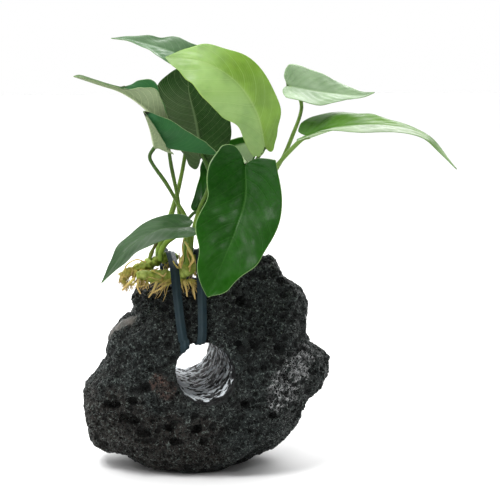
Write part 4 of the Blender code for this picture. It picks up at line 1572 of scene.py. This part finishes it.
class Blade:
    """One leaf's blade: a fine sheet on the same surface as its solid, thickest at the midrib."""

    COLUMNS = 44
    ROWS = 84
    ROW_SPREAD = 1.6
    HALF_PHASE = 0.37
    THIN = 0.4
    THICK = 1.3
    RIB_WIDTH = 0.8

    def __init__(self, name: str, leaf: Leaf, materials: Sequence[bpy.types.Material]) -> None:
        """Work out the midrib's curve and the two outlines.

        Args:
            name: The leaf's name.
            leaf: Its sizes.
            materials: Upper side, underside and rim.
        """
        self.name = name
        self.leaf = leaf
        self.materials = materials
        self.points = spline(leaf.midrib, 24)
        self.shares = length_shares(self.points)
        self.length = float(np.linalg.norm(np.diff(self.points, axis=0), axis=1).sum())
        self.outlines = [self.outline(half) for half in (0, 1)]

    def outline(self, half: int) -> tuple[np.ndarray, np.ndarray]:
        """Work out the outline of one half of the blade.

        Args:
            half: 0 on the right of the midrib, or 1 on its left.

        Returns:
            Share of the midrib and of the half width, a row at a time.
        """
        lobe_share = self.leaf.lobes[half] / self.length
        knots = []
        for along, out in self.leaf.outline:
            fuller = self.leaf.fullness[half] * max(along - BLADE_WIDEST, 0) * (1 - along) * 2
            fuller += self.leaf.blunt[half] * max(along - 0.75, 0) * (1 - along) * 70
            thinner = self.leaf.taper[half] * min(max(1 - along / BLADE_WIDEST, 0), 1)
            behind = along * lobe_share if along < 0 else along
            knots.append((behind, out * (1 - thinner) + fuller, 0.0))
        curve = spline(knots, 16)
        shares = length_shares(curve)
        wanted = np.linspace(0, 1, self.ROWS + 1)
        return tuple(np.interp(wanted, shares, curve[:, axis]) for axis in (0, 1))

    def at(self, shares: np.ndarray) -> np.ndarray:
        """Find places on the midrib; before 0 it runs on straight.

        Args:
            shares: Shares of its length.

        Returns:
            The places, in millimetres.
        """
        places = np.stack([np.interp(shares, self.shares, axis) for axis in self.points.T], axis=-1)
        first = unit(self.points[1] - self.points[0])
        return places + first * np.minimum(shares, 0)[..., None] * self.length

    def frames(self, shares: np.ndarray) -> tuple[np.ndarray, np.ndarray, np.ndarray]:
        """Find places on the midrib, and which way the blade lies there.

        Args:
            shares: Shares of its length.

        Returns:
            The places, with the right-hand side and the upper side there.
        """
        near = np.clip(shares, 0.01, 0.99)
        along = unit(self.at(near + 0.01) - self.at(near - 0.01))
        start, end = (unit(np.array(face, float)) for face in self.leaf.faces)
        up = start + (end - start) * near[..., None]
        up = unit(up - along * (up * along).sum(axis=-1, keepdims=True))
        return self.at(shares), np.cross(along, up), up

    def surface(self, row: np.ndarray, across: np.ndarray) -> tuple[np.ndarray, np.ndarray, np.ndarray]:
        """Place points of the blade's sheet.

        Args:
            row: From 0 at the joint to 1 at the tip.
            across: From -1 to 1.

        Returns:
            The places in millimetres, their shares along the midrib and their distances from it.
        """
        leaf = self.leaf
        steps = np.round(row * self.ROWS).astype(int)
        half = np.where(across > 0, 0, 1)
        edge_along = np.where(half == 0, self.outlines[0][0][steps], self.outlines[1][0][steps])
        edge_out = np.where(half == 0, self.outlines[0][1][steps], self.outlines[1][1][steps])
        share = row**self.ROW_SPREAD
        side = np.abs(across)
        along = share + side * (edge_along - share)
        out = side * edge_out
        centre, right, up = self.frames(along)
        fold = np.radians(np.where(half == 0, *leaf.fold)) * (1 - leaf.unfold * np.maximum(along, 0))
        height, count, phase = leaf.wave
        turns = count * row + phase + self.HALF_PHASE * half
        ripple = height * out**2 * np.sin(2 * np.pi * turns)
        scallop = 1 + leaf.scallop * side**2 * np.sin(4 * np.pi * turns)
        width = out * np.where(half == 0, *leaf.half_widths) * scallop
        reach = width * np.cos(fold) * (1 - 2 * half)
        rise = width * np.sin(fold) + ripple + self.relief(along, side, width)
        return centre + right * reach[:, None] + up * rise[:, None], along, width

    def relief(self, along: np.ndarray, side: np.ndarray, width: np.ndarray) -> np.ndarray:
        """Work out the relief: a sunken midrib, the quilting between the side veins, and soft lobes.

        Args:
            along: Share along the midrib of each point.
            side: Distance from the midrib, as a share of the half blade.
            width: The same distance, in millimetres.

        Returns:
            The height of each point, in millimetres.
        """
        count = self.leaf.kind.value.vein_count
        line = (along - VEIN_LIFT * side**VEIN_CURVE) * count
        quilt = np.cos(2 * np.pi * line) * -0.07 * np.clip(width / 4, 0, 1) * (1 - side**4)
        groove = -0.3 * np.exp(-((width / self.RIB_WIDTH) ** 2)) * np.clip(1.1 - along, 0, 1)
        where = zip(along * 4.5, side * 1.6 + along * 2)
        lobes = np.array([noise.noise(Vector((*spot, len(self.name) * 1.7))) for spot in where])
        return quilt + groove + 0.8 * lobes * np.clip(width / 6, 0, 1)

    def build(self) -> bpy.types.Object:
        """Build the blade.

        Returns:
            The finished piece.
        """
        bm = bmesh.new()
        bmesh.ops.create_grid(bm, x_segments=self.COLUMNS, y_segments=self.ROWS, size=1.0)
        across = np.array([v.co.x for v in bm.verts])
        row = np.array([(v.co.y + 1) / 2 for v in bm.verts])
        spots, along, width = self.surface(row, across)
        across_layer, along_layer = attribute_layer(bm, "across"), attribute_layer(bm, "along")
        pale_layer, spoiled_layer = attribute_layer(bm, "pale"), attribute_layer(bm, "spoiled")
        weights = bm.verts.layers.deform.verify()
        rib = np.exp(-((width / self.RIB_WIDTH) ** 2)) * np.clip(1.05 - along, 0, 1)
        rim = np.clip((1 - np.abs(across)) / 0.06, 0, 1)
        pale = np.clip((along - self.leaf.pale) / 0.1, 0, 0.9)
        pale = pale * np.clip((self.leaf.pale_side - np.abs(across)) / 0.08, 0, 1)
        thickness = self.THIN / self.THICK * (0.45 + 0.55 * rim)
        thickness = thickness + (1 - self.THIN / self.THICK) * rib
        for i, vertex in enumerate(bm.verts):
            vertex.co = spots[i]
            vertex[across_layer] = float(across[i])
            vertex[along_layer] = float(along[i])
            vertex[pale_layer] = float(pale[i])
            vertex[spoiled_layer] = min(max((float(along[i]) - self.leaf.spoiled) / 0.05, 0), 1)
            vertex[weights][0] = float(thickness[i])
        bmesh.ops.remove_doubles(bm, verts=bm.verts, dist=0.01)
        piece = finish_mesh(bm, f"leaf_{self.name}")
        piece.vertex_groups.new(name="thickness")
        for material in self.materials:
            piece.data.materials.append(material)
        wall = piece.modifiers.new("wall", "SOLIDIFY")
        wall.thickness = self.THICK * MM
        wall.offset = -1.0
        wall.vertex_group = "thickness"
        wall.material_offset = 1
        wall.material_offset_rim = 2
        apply_modifiers(piece)
        hand_over(piece, [f"blade_{self.name}"])
        return piece


class LeafStalk:
    """One leaf's stalk: thicker and sheathing at its foot, slightly flattened, bent at the blade."""

    def __init__(self, name: str, leaf: Leaf, material: bpy.types.Material) -> None:
        """Hold the leaf whose stalk this is.

        Args:
            name: The leaf's name.
            leaf: Its sizes.
            material: The stalk's finish.
        """
        self.name = name
        self.leaf = leaf
        self.material = material

    def build(self, joint: np.ndarray, up: np.ndarray) -> bpy.types.Object:
        """Build the stalk.

        Args:
            joint: Where the blade's midrib starts, in millimetres.
            up: The direction that the blade's upper side faces there.

        Returns:
            The finished piece.
        """
        thick, thin = self.leaf.petiole_radii
        end = joint - up * thin * 0.8
        path = spline([*self.leaf.petiole, tuple(end)], 10)
        shares = length_shares(path)
        radii = np.interp(shares, (0, 0.25, 0.5, 1), (thick, 0.78 * thick, thin, 0.92 * thin))
        radii = radii * (1 + 0.05 * np.sin(shares * 23 + len(self.name)))
        bm = swept(path, radii, sides=12, flatness=0.88)
        piece = finish_mesh(bm, f"stalk_{self.name}")
        piece.data.materials.append(self.material)
        hand_over(piece, [f"petiole_{self.name}"])
        return piece


@dataclass
class Foliage:
    """The ten leaves."""

    effects: Effects
    stalk_finish: StalkFinish = StalkFinish(
        slot="petiole",
        name="leaf_stalk",
        start=screen(118, 146, 52),
        end=screen(60, 90, 36),
        stain=screen(50, 74, 24),
    )
    light_finish: StalkFinish = StalkFinish(
        slot="petiole",
        name="light_stalk",
        start=screen(120, 150, 56),
        end=screen(112, 142, 66),
        stain=screen(70, 100, 34),
    )

    def build(self) -> None:
        """Build every blade and stalk."""
        stalks = [f.material(self.effects) for f in (self.stalk_finish, self.light_finish)]
        blades = {kind: kind.value.materials(self.effects) for kind in LeafKind}
        for name, leaf in LEAVES.items():
            blade = Blade(name, leaf, blades[leaf.kind])
            blade.build()
            joint, _, up = blade.frames(np.array([0.0]))
            LeafStalk(name, leaf, stalks[leaf.light_stalk]).build(joint[0], up[0])


# --------------------------------------------------------------------------------------------
# The creeping stem, its roots and dead sheaths
# --------------------------------------------------------------------------------------------


@dataclass(frozen=True)
class Rhizome:
    """One branch of the creeping stem: where it runs, how thick, and how far it has aged."""

    path: tuple
    radii: tuple
    old_end: float = 0.0
    knobs: tuple = ()


RHIZOMES = {
    "front": Rhizome(
        path=(
            (-26, -12, 87),
            (-20, -12, 87),
            (-13, -12, 87),
            (-7, -12, 88),
            (-3, -11, 90.5),
            (1, -9.5, 94),
            (7, -8.5, 96),
            (12, -7.5, 96.5),
            (16, -6.5, 97),
        ),
        radii=(1.9, 2.5, 2.6, 3.0, 2.9, 2.8, 2.9, 2.7, 1.9),
        knobs=((-5, -14.5, 89), (-23, -14, 88), (-15, -14, 86), (-9, -14.5, 87), (1, -12, 93)),
    ),
    "rear": Rhizome(
        path=(
            (-34, -4, 83),
            (-31, -4, 87),
            (-25, -4, 89.5),
            (-20, -3, 91.5),
            (-15, -1.5, 93.5),
            (-8.5, -1, 94.5),
        ),
        radii=(1.4, 2.0, 1.9, 2.1, 2.2, 1.5),
        old_end=0.42,
        knobs=((-32, -5.5, 86.5), (-22, -4, 93)),
    ),
}

THICK_ROOTS = {
    "root_1": ((-25, -14.5, 86), (-25.5, -16.5, 83), (-24, -17.5, 80)),
    "root_2": ((-17, -15, 85), (-18.5, -17, 81.5), (-20.5, -18.5, 78.5)),
    "root_3": ((-13, -15, 84.5), (-15, -17, 82.5), (-19, -18.5, 80.5)),
    "root_4": ((-5, -15.5, 85.5), (-4, -17.5, 82), (-3.5, -19, 79)),
    "root_5": ((-2.5, -15, 86), (-1, -17.5, 82.5), (0, -19.3, 78)),
    "root_6": ((-27, -12, 86), (-30, -12, 83.5), (-33, -11, 80.5)),
}
ARCHING_ROOT = ((-32.3, -5.6, 88.6), (-30.5, -6.6, 91.6), (-26.5, -6.6, 93.6), (-22.5, -5.2, 92.2))
CUT_STALK = ((-21.5, -3.5, 92), (-19.5, -3.5, 97.5), (-16.4, -3.9, 102.8))
DEAD_SHEATHS = {
    "dead_sheath_long": ((-4.5, -15.3, 103), (-2.5, -15.5, 99), (-1, -15.6, 95), (-3, -15.8, 91.5)),
    "dead_sheath_short": ((-5.5, -16.3, 97), (-6.6, -16.6, 94), (-6.2, -16.8, 91.5)),
}


@dataclass(frozen=True)
class Tuft:
    """A tuft of fine rootlets: where it starts, where it heads, and how it spreads."""

    name: str
    start: Point
    heading: Point
    count: int
    length: float
    spread: float
    radius: float
    foot: Point = (0, 0, 0)


TUFTS = (
    Tuft("rootlets_old_end", (-32, -6.5, 86), (-0.6, -0.3, -0.7), 60, 4.0, 0.7, 0.16, (3, 3, 4)),
    Tuft("rootlets_hanging", (-30.5, -8, 83.5), (-0.2, -0.2, -0.9), 80, 4.5, 0.5, 0.13, (4, 2, 2)),
    Tuft("rootlets_left", (-25, -13.5, 85), (-0.4, -0.4, -0.8), 34, 4.0, 0.5, 0.26, (8, 2, 2)),
    Tuft("rootlets_middle", (-12, -15.5, 85.5), (-1, -0.2, -0.3), 26, 10.0, 0.12, 0.2, (5, 1, 2)),
    Tuft("rootlets_crown", (-5, -15.5, 86), (0.3, -0.3, -0.9), 16, 6.0, 0.3, 0.2, (3, 1, 1)),
    Tuft("rootlets_crown_right", (-2.5, -15.5, 86), (0.7, -0.3, -0.65), 14, 7.0, 0.18, 0.18, (3, 1, 1)),
    Tuft("rootlets_between", (-22, -8.5, 88.5), (0, -0.3, -0.9), 60, 5.0, 0.35, 0.4, (13, 2, 2)),
    Tuft("rootlets_under_crown", (1.5, -8.5, 92), (0.1, -0.3, -0.9), 36, 8.0, 0.3, 0.4, (6, 2, 2)),
    Tuft("rootlets_back", (-10, 3, 90), (-0.2, 0.5, -0.8), 40, 8.0, 0.6, 0.2, (9, 1, 1)),
)

# Single thin roots that lie on the creeping stem and across the left tie.
THREADS = (
    ((-19.5, -14.4, 89.6), (-18, -14.9, 90.2), (-16, -14.8, 91.2)),
    ((-18.5, -14.8, 89.6), (-16, -15.2, 88.6), (-14.2, -15.4, 87.6), (-12.8, -15.2, 89)),
    ((-14.2, -15.3, 87.7), (-14.8, -15.3, 86.4), (-15.4, -15.2, 84.9)),
    ((-9.8, -16.6, 94.6), (-8.6, -16.9, 92.6), (-7.4, -16.4, 91.4), (-6.9, -15.6, 93.6), (-7.2, -15, 98)),
    ((-4.6, -14.6, 106), (-5.6, -14.8, 101), (-5.4, -15.2, 95.5), (-6.4, -15.4, 91)),
    ((-3.2, -14.4, 102), (-3.4, -14.6, 97), (-2.2, -14.4, 93), (-2.6, -14.8, 89.5)),
    ((-3.8, -14.6, 99), (-1.2, -13.6, 96), (0.4, -13.2, 92.5)),
    ((-25.5, -14.6, 85.5), (-24.6, -16, 83.4), (-22.6, -16.6, 83.8), (-22.4, -16, 85.8)),
)


@dataclass
class RootStock:
    """The two rhizomes, every root, the cut stalk and the dead sheaths."""

    effects: Effects
    stone: bpy.types.Object
    seed: int = 7
    ring_pitch: float = 3.2
    knob_radius: float = 2.2
    lump_height: float = 0.9
    stem_finish: StalkFinish = StalkFinish(
        slot="rhizome",
        name="creeping_stem",
        start=screen(142, 158, 60),
        end=screen(136, 160, 62),
        stain=screen(104, 104, 36),
        streaks=14.0,
        stained=0.35,
        ringed=0.35,
    )
    root_finish: StalkFinish = StalkFinish(
        slot="root",
        name="tan_root",
        start=screen(212, 194, 118),
        end=screen(220, 190, 124),
        stain=screen(172, 136, 78),
        roughness=0.6,
    )
    rootlet_finish: StalkFinish = StalkFinish(
        slot="root",
        name="yellow_rootlet",
        start=screen(188, 180, 88),
        end=screen(214, 184, 124),
        stain=screen(108, 74, 38),
        roughness=0.6,
        stained=0.6,
    )
    sheath_finish: StalkFinish = StalkFinish(
        slot="root",
        name="dead_sheath",
        start=screen(196, 190, 110),
        end=screen(206, 176, 104),
        stain=screen(160, 128, 66),
        roughness=0.6,
    )
    stub_finish: StalkFinish = StalkFinish(
        slot="petiole",
        name="cut_stub",
        start=screen(118, 142, 52),
        end=screen(58, 44, 26),
        stain=screen(70, 60, 30),
    )

    def __post_init__(self) -> None:
        """Hold the stone's surface in millimetres, to keep the rootlets out of it."""
        self.touch = BVHTree.FromPolygons(
            [v.co / MM for v in self.stone.data.vertices],
            [tuple(p.vertices) for p in self.stone.data.polygons],
        )

    def build(self) -> None:
        """Build every piece of the stock."""
        stem = self.stem_finish.material(self.effects)
        for name, rhizome in RHIZOMES.items():
            self.build_rhizome(name, rhizome, stem)
        tan = self.root_finish.material(self.effects)
        for name, path in THICK_ROOTS.items():
            self.build_strand(f"thick_{name}", path, (0.75, 0.32), tan, name)
        self.build_strand("root_arch", ARCHING_ROOT, (0.38, 0.3), tan, "arching_root")
        stub = self.stub_finish.material(self.effects)
        self.build_strand("stub_cut", CUT_STALK, (1.25, 0.55), stub, "cut_stalk")
        dry = self.sheath_finish.material(self.effects)
        for name, path in DEAD_SHEATHS.items():
            self.build_strand(f"dry_{name}", path, (0.6, 1.1, 1.0, 0.5), dry, name, 0.6)
        fine = self.rootlet_finish.material(self.effects)
        for number, path in enumerate(THREADS, 1):
            self.build_strand(f"thread_{number}", path, (0.3, 0.42, 0.3), fine)
        rng = random.Random(self.seed)
        for tuft in TUFTS:
            self.build_tuft(tuft, fine, rng)

    def build_rhizome(self, name: str, rhizome: Rhizome, material: bpy.types.Material) -> None:
        """Build one branch, swollen between its leaf scars, lumpy, with pale round knobs.

        Args:
            name: The branch's name.
            rhizome: Its sizes.
            material: Its finish.
        """
        path = spline(rhizome.path, 14)
        shares = length_shares(path)
        length = float(np.linalg.norm(np.diff(path, axis=0), axis=1).sum())
        knots = length_shares(np.array(rhizome.path, float))
        rings = 1 + 0.09 * np.cos(2 * np.pi * shares * length / self.ring_pitch)
        radii = np.interp(shares, knots, rhizome.radii) * rings
        radii[0] *= 0.6
        radii[-1] *= 0.6
        bm = swept(path, radii, sides=32)
        old = attribute_layer(bm, "old")
        along = attribute_layer(bm, "along")
        knob_layer = attribute_layer(bm, "knob")
        bm.normal_update()
        for vertex in bm.verts:
            place = vertex.co.copy()
            lumps = self.lump_height * noise.fractal(place / 2.0, 0.7, 2.0, 4)
            for knob in rhizome.knobs:
                near = math.exp(-(((place - Vector(knob)).length / self.knob_radius) ** 2))
                lumps += self.lump_height * near
                vertex[knob_layer] = max(vertex[knob_layer], near)
            vertex.co = place + vertex.normal * lumps
            if rhizome.old_end:
                share = 1 - vertex[along] / rhizome.old_end + 0.6 * noise.noise(place / 2)
                vertex[old] = min(max(share * 1.6, 0), 1)
        piece = finish_mesh(bm, f"stem_{name}")
        piece.data.materials.append(material)
        hand_over(piece, [f"rhizome_{name}"])

    def build_strand(
        self,
        name: str,
        points: Sequence[Point],
        radii: Sequence[float],
        material: bpy.types.Material,
        node: str | None = None,
        flatness: float = 0.9,
    ) -> None:
        """Build a single strand.

        Args:
            name: The piece's name.
            points: Where it runs, in the plant's frame.
            radii: Its radii, evenly spaced along it.
            material: Its finish.
            node: The solid that it replaces, if any.
            flatness: How thick it is across, as a share of its width.
        """
        path = spline(points, 9)
        shares = length_shares(path)
        thick = np.interp(shares, np.linspace(0, 1, len(radii)), radii)
        thick = thick * (1 + 0.12 * np.sin(shares * 17 + len(name)))
        piece = finish_mesh(swept(path, thick, sides=10, flatness=flatness), name)
        piece.data.materials.append(material)
        hand_over(piece, [node] if node else [])

    def build_tuft(self, tuft: Tuft, material: bpy.types.Material, rng: random.Random) -> None:
        """Build a tuft of rootlets that lie down where they meet the stone.

        Args:
            tuft: Its sizes.
            material: Its finish.
            rng: The source of its random numbers.
        """
        bm = bmesh.new()
        for _ in range(tuft.count):
            path = self.rootlet_path(tuft, rng)
            ends = np.linspace(1.15, 0.45, len(path))
            Sweep(path, tuft.radius * rng.uniform(0.7, 1.3) * ends, sides=5).add_to(bm)
        bmesh.ops.recalc_face_normals(bm, faces=bm.faces)
        piece = finish_mesh(bm, tuft.name)
        piece.data.materials.append(material)
        hand_over(piece)

    def rootlet_path(self, tuft: Tuft, rng: random.Random) -> np.ndarray:
        """Let one rootlet grow, kept out of the stone.

        Args:
            tuft: The tuft that it is in.
            rng: The source of its random numbers.

        Returns:
            Its path, in the plant's frame.
        """
        spot = Vector([s + rng.uniform(-f, f) / 2 for s, f in zip(tuft.start, tuft.foot)])
        heading = Vector(tuft.heading).normalized()
        heading += Vector([rng.gauss(0, tuft.spread) for _ in range(3)])
        heading.normalize()
        reach = tuft.length * rng.uniform(0.5, 1.15)
        knots = [spot.copy()]
        for _ in range(5):
            heading += Vector([rng.gauss(0, 0.22) for _ in range(3)]) + Vector((0, 0, -0.12))
            heading.normalize()
            spot = self.kept_out(spot + heading * reach / 5, tuft.radius)
            knots.append(spot.copy())
        return spline(knots, 3)

    def kept_out(self, spot: Vector, radius: float) -> Vector:
        """Move a spot out onto the stone's surface, if it lies in the stone.

        Args:
            spot: The spot, in the plant's frame.
            radius: How far it stays from the surface, in millimetres.

        Returns:
            The spot, moved if need be.
        """
        turn = Matrix.Rotation(PLANT_TURN, 3, "Z")
        near, normal, _, _ = self.touch.find_nearest(turn @ spot)
        clear = (turn @ spot - near).dot(normal)
        if clear > radius:
            return spot
        return turn.transposed() @ (near + normal * radius)


# --------------------------------------------------------------------------------------------
# The two ties
# --------------------------------------------------------------------------------------------


@dataclass(frozen=True)
class Tie:
    """One flat tie: its place across the hole over the stem, and in the hole."""

    over_stem: float
    in_hole: float


TIES = {"tie_band_left": Tie(-12.1, -9.8), "tie_band_right": Tie(-0.4, -2.9)}


@dataclass
class TieMaker:
    """Makes the ties: flat ribbons with a round rib over their wire, twisted shut at the back."""

    effects: Effects
    finish: VinylFinish = VinylFinish()
    width: float = 4.0
    top: float = 97.0
    hook: float = 0.4
    tilt_reach: float = 9.0
    twist_height: float = 88.0
    twist_lean: float = math.radians(-62)
    twist_length: float = 13.5
    twist_turns: float = 2.5
    ring_points: int = 180
    ring_rounds: int = 3
    section: tuple = (
        (-1.0, 0.14),
        (-0.94, 0.0),
        (-0.3, 0.0),
        (0.3, 0.0),
        (0.94, 0.0),
        (1.0, 0.14),
        (1.0, 0.36),
        (0.94, 0.5),
        (0.40, 0.52),
        (0.30, 0.66),
        (0.13, 0.92),
        (-0.13, 0.92),
        (-0.30, 0.66),
        (-0.40, 0.52),
        (-0.94, 0.5),
        (-1.0, 0.36),
    )

    def build(self) -> None:
        """Build both ties."""
        vinyl = self.finish.material(self.effects)
        for node, tie in TIES.items():
            ring = self.ring(node, tie)
            bm = bmesh.new()
            self.add_ribbon(bm, tie, ring)
            self.add_twist(bm, tie, ring)
            bmesh.ops.recalc_face_normals(bm, faces=bm.faces)
            piece = finish_mesh(bm, node.replace("band_", ""), Matrix.Scale(MM, 4))
            piece.data.set_sharp_from_angle(angle=math.radians(50))
            piece.data.materials.append(vinyl)
            hand_over(piece, [node])

    def shift(self, tie: Tie, height: np.ndarray) -> np.ndarray:
        """Work out where a tie lies across the hole.

        Args:
            tie: The tie's place.
            height: Heights, in millimetres.

        Returns:
            Its place across the hole at each height.
        """
        roof = HOLE_MIDDLE[1] + HOLE_RADIUS
        share = np.clip((height - roof) / (self.top - roof), 0, 1) ** self.hook
        return tie.in_hole + (tie.over_stem - tie.in_hole) * share

    @staticmethod
    def roof_height(x: float) -> float:
        """Return the height of the hole's roof at this place across it."""
        return HOLE_MIDDLE[1] + math.sqrt(HOLE_RADIUS**2 - (x - HOLE_MIDDLE[0]) ** 2)

    def ring(self, node: str, tie: Tie) -> np.ndarray:
        """Find the ring that the inner side of the tie's solid makes.

        Args:
            node: The solid's name.
            tie: The tie's place.

        Returns:
            Its (y, z) points, evenly spaced and rounded.
        """
        data = bpy.data.objects[node].data
        middle = np.mean([tuple(v.co) for v in data.vertices], axis=0)
        held = set()
        for facet in data.polygons:
            inward = Vector(middle) - facet.center
            inward.x = 0
            if facet.normal.dot(inward.normalized()) > 0.25 and abs(facet.normal.x) < 0.7:
                held.update(facet.vertices)
        spots = np.array([data.vertices[i].co for i in held]) / MM
        left = spots[spots[:, 0] < self.shift(tie, spots[:, 2])]
        flat = np.unique(left[:, 1:].round(2), axis=0)
        bearing = np.arctan2(*(flat - middle[1:] / MM).T[::-1])
        inner = flat[np.argsort(bearing)]
        closed = np.vstack([inner, inner[:1]])
        shares = length_shares(closed)
        wanted = np.linspace(0, 1, self.ring_points + 1)[:-1]
        even = np.stack([np.interp(wanted, shares, closed[:, axis]) for axis in (0, 1)], axis=1)
        for _ in range(self.ring_rounds):
            even = (np.roll(even, 1, axis=0) + 2 * even + np.roll(even, -1, axis=0)) / 4
        return even

    def add_ribbon(self, bm: bmesh.types.BMesh, tie: Tie, ring: np.ndarray) -> None:
        """Add the flat ribbon, its section swept round the ring and tilted to the hole's roof.

        Args:
            bm: The mesh that it goes into.
            tie: The tie's place.
            ring: The inner ring.
        """
        rib, along, around = (attribute_layer(bm, n) for n in ("rib", "along", "around"))
        forward = unit(np.roll(ring, -1, axis=0) - np.roll(ring, 1, axis=0))
        out = np.stack([forward[:, 1], -forward[:, 0]], axis=1)
        count, points = len(ring), len(self.section)
        lowest = self.roof_height(tie.in_hole - self.width / 2)
        made = bmesh.ops.create_grid(bm, x_segments=points, y_segments=count, size=1.0)
        for vertex in made["verts"]:
            step = round((vertex.co.y + 1) / 2 * count) % count
            place = round((vertex.co.x + 1) / 2 * points) % points
            across, height = self.section[place]
            y, z = ring[step] + out[step] * height
            x = float(self.shift(tie, ring[step][1])) + across * self.width / 2
            low = max(1 - (ring[step][1] - ring[:, 1].min()) / self.tilt_reach, 0.0)
            vertex.co = (x, y, z + low * (self.roof_height(x) - lowest))
            vertex[rib] = max(height - 0.5, 0) / 0.42
            vertex[along] = step / count * 40
            vertex[around] = abs(across)
        bmesh.ops.remove_doubles(bm, verts=made["verts"], dist=0.004)

    def add_twist(self, bm: bmesh.types.BMesh, tie: Tie, ring: np.ndarray) -> None:
        """Add the two ends, wound round each other.

        Args:
            bm: The mesh that they go into.
            tie: The tie's place.
            ring: The inner ring.
        """
        rear = ring[ring[:, 0] > 0]
        foot = rear[np.argmin(np.abs(rear[:, 1] - self.twist_height))]
        start = np.array([float(self.shift(tie, foot[1])), foot[0], foot[1]])
        axis = np.array(Matrix.Rotation(self.twist_lean, 3, "X") @ Vector((0, 0, 1)))
        across = np.array((1.0, 0.0, 0.0))
        third = np.cross(axis, across)
        steps = np.linspace(0, 1, 60)
        for phase in (0.0, math.pi):
            angle = 2 * math.pi * self.twist_turns * steps + phase
            away = 0.75 + 0.5 * steps**3
            path = start + np.outer(steps * self.twist_length - 0.4, axis)
            path = path + away[:, None] * (np.outer(np.cos(angle), across) + np.outer(np.sin(angle), third))
            Sweep(path, np.full(len(path), 0.85), sides=10, flatness=0.6).add_to(bm)


# --------------------------------------------------------------------------------------------
# Studio
# --------------------------------------------------------------------------------------------


@dataclass(frozen=True)
class SoftBox:
    """One soft lamp: its size, place and target in metres, in the plant's frame."""

    name: str
    place: Point
    target: Point
    size: float
    power: float


@dataclass
class Studio:
    """Floor, soft light and camera."""

    distance: float = 625.0
    elevation: float = math.radians(8)
    aim: Point = (24, 0, 97)
    lens: float = 100.0
    sensor: float = 36.0
    floor_size: float = 6.0
    bright_side: Point = (-0.15, 0.8, 0.58)
    darkest: float = 0.14
    brightest: float = 1.7
    lamps: tuple = (
        SoftBox("key_light", (-0.5, -0.5, 1.2), (0.02, 0, 0.12), 0.5, 14.0),
        SoftBox("back_light", (0.3, 0.9, 0.9), (0.02, 0, 0.12), 0.8, 8.0),
        SoftBox("gloss_light", (0.05, -1.0, 0.80), (0.02, 0, 0.12), 0.2, 2.0),
    )

    def build(self) -> None:
        """Build the studio."""
        self.build_floor()
        self.build_world()
        for lamp in self.lamps:
            self.build_lamp(lamp)
        self.build_camera()
        bpy.context.scene.view_settings.view_transform = "Standard"

    def build_floor(self) -> None:
        """Build the plain pale floor."""
        bm = bmesh.new()
        bmesh.ops.create_grid(bm, x_segments=2, y_segments=2, size=self.floor_size)
        floor = finish_mesh(bm, "floor", None)
        board, shader = new_material("pale_floor", 0.8, 0.2)
        tone = board.noise(board.object_place(), 3.0)
        board.put(shader.inputs["Base Color"], board.mix(tone, (0.92, 0.92, 0.92), (0.95, 0.95, 0.95)))
        floor.data.materials.append(owner(shader))

    def build_world(self) -> None:
        """Build the surround: white to the camera, and light by how high and far back it is."""
        world = bpy.data.worlds.new("white_surround")
        bpy.context.scene.world = world
        world.use_nodes = True
        board = NodeBoard(world.node_tree)
        surround = world.node_tree.nodes["Background"]
        facing = board.node("ShaderNodeVectorMath", operation="DOT_PRODUCT")
        board.put(facing.inputs[0], board.object_place())
        facing.inputs[1].default_value = TO_PART.to_3x3().normalized() @ Vector(self.bright_side)
        light = board.step(facing.outputs["Value"], -0.25, 0.9, self.darkest, self.brightest)
        seen = board.node("ShaderNodeLightPath").outputs["Is Camera Ray"]
        shown = board.mix(seen, light, (1.0, 1.0, 1.0))
        board.put(surround.inputs["Color"], shown)
        surround.inputs["Strength"].default_value = 1.0

    @staticmethod
    def build_lamp(lamp: SoftBox) -> None:
        """Build one soft lamp.

        Args:
            lamp: Its size, place, target and power.
        """
        light = bpy.data.lights.new(lamp.name, "AREA")
        light.shape = "SQUARE"
        light.size = lamp.size
        light.energy = lamp.power
        item = bpy.data.objects.new(lamp.name, light)
        turn = Matrix.Rotation(PLANT_TURN, 4, "Z")
        item.matrix_world = looking(turn @ Vector(lamp.place), turn @ Vector(lamp.target))
        bpy.context.scene.collection.objects.link(item)

    def build_camera(self) -> None:
        """Build the camera, at the height and side from which the stone's front is seen."""
        data = bpy.data.cameras.new("camera")
        data.lens = self.lens
        data.sensor_width = self.sensor
        item = bpy.data.objects.new("camera", data)
        back = Vector((0, -math.cos(self.elevation), math.sin(self.elevation))) * self.distance
        aim = Vector(self.aim)
        item.matrix_world = looking(TO_PART @ (aim + back), TO_PART @ aim)
        bpy.context.scene.collection.objects.link(item)
        bpy.context.scene.camera = item


def looking(place: Vector, target: Vector) -> Matrix:
    """Return the matrix of a camera or lamp that looks from one place to another."""
    turn = (target - place).to_track_quat("-Z", "Y").to_matrix().to_4x4()
    return Matrix.Translation(place) @ turn


def main() -> None:
    """Load the frame, dress every part of it and set the studio up."""
    logging.basicConfig(level=logging.INFO, format="%(name)s: %(message)s")
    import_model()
    Studio().build()
    effects = Effects()
    stone = LavaStone(effects).build()
    Foliage(effects).build()
    RootStock(effects, stone).build()
    TieMaker(effects).build()
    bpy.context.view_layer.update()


if __name__ == "__main__":
    main()
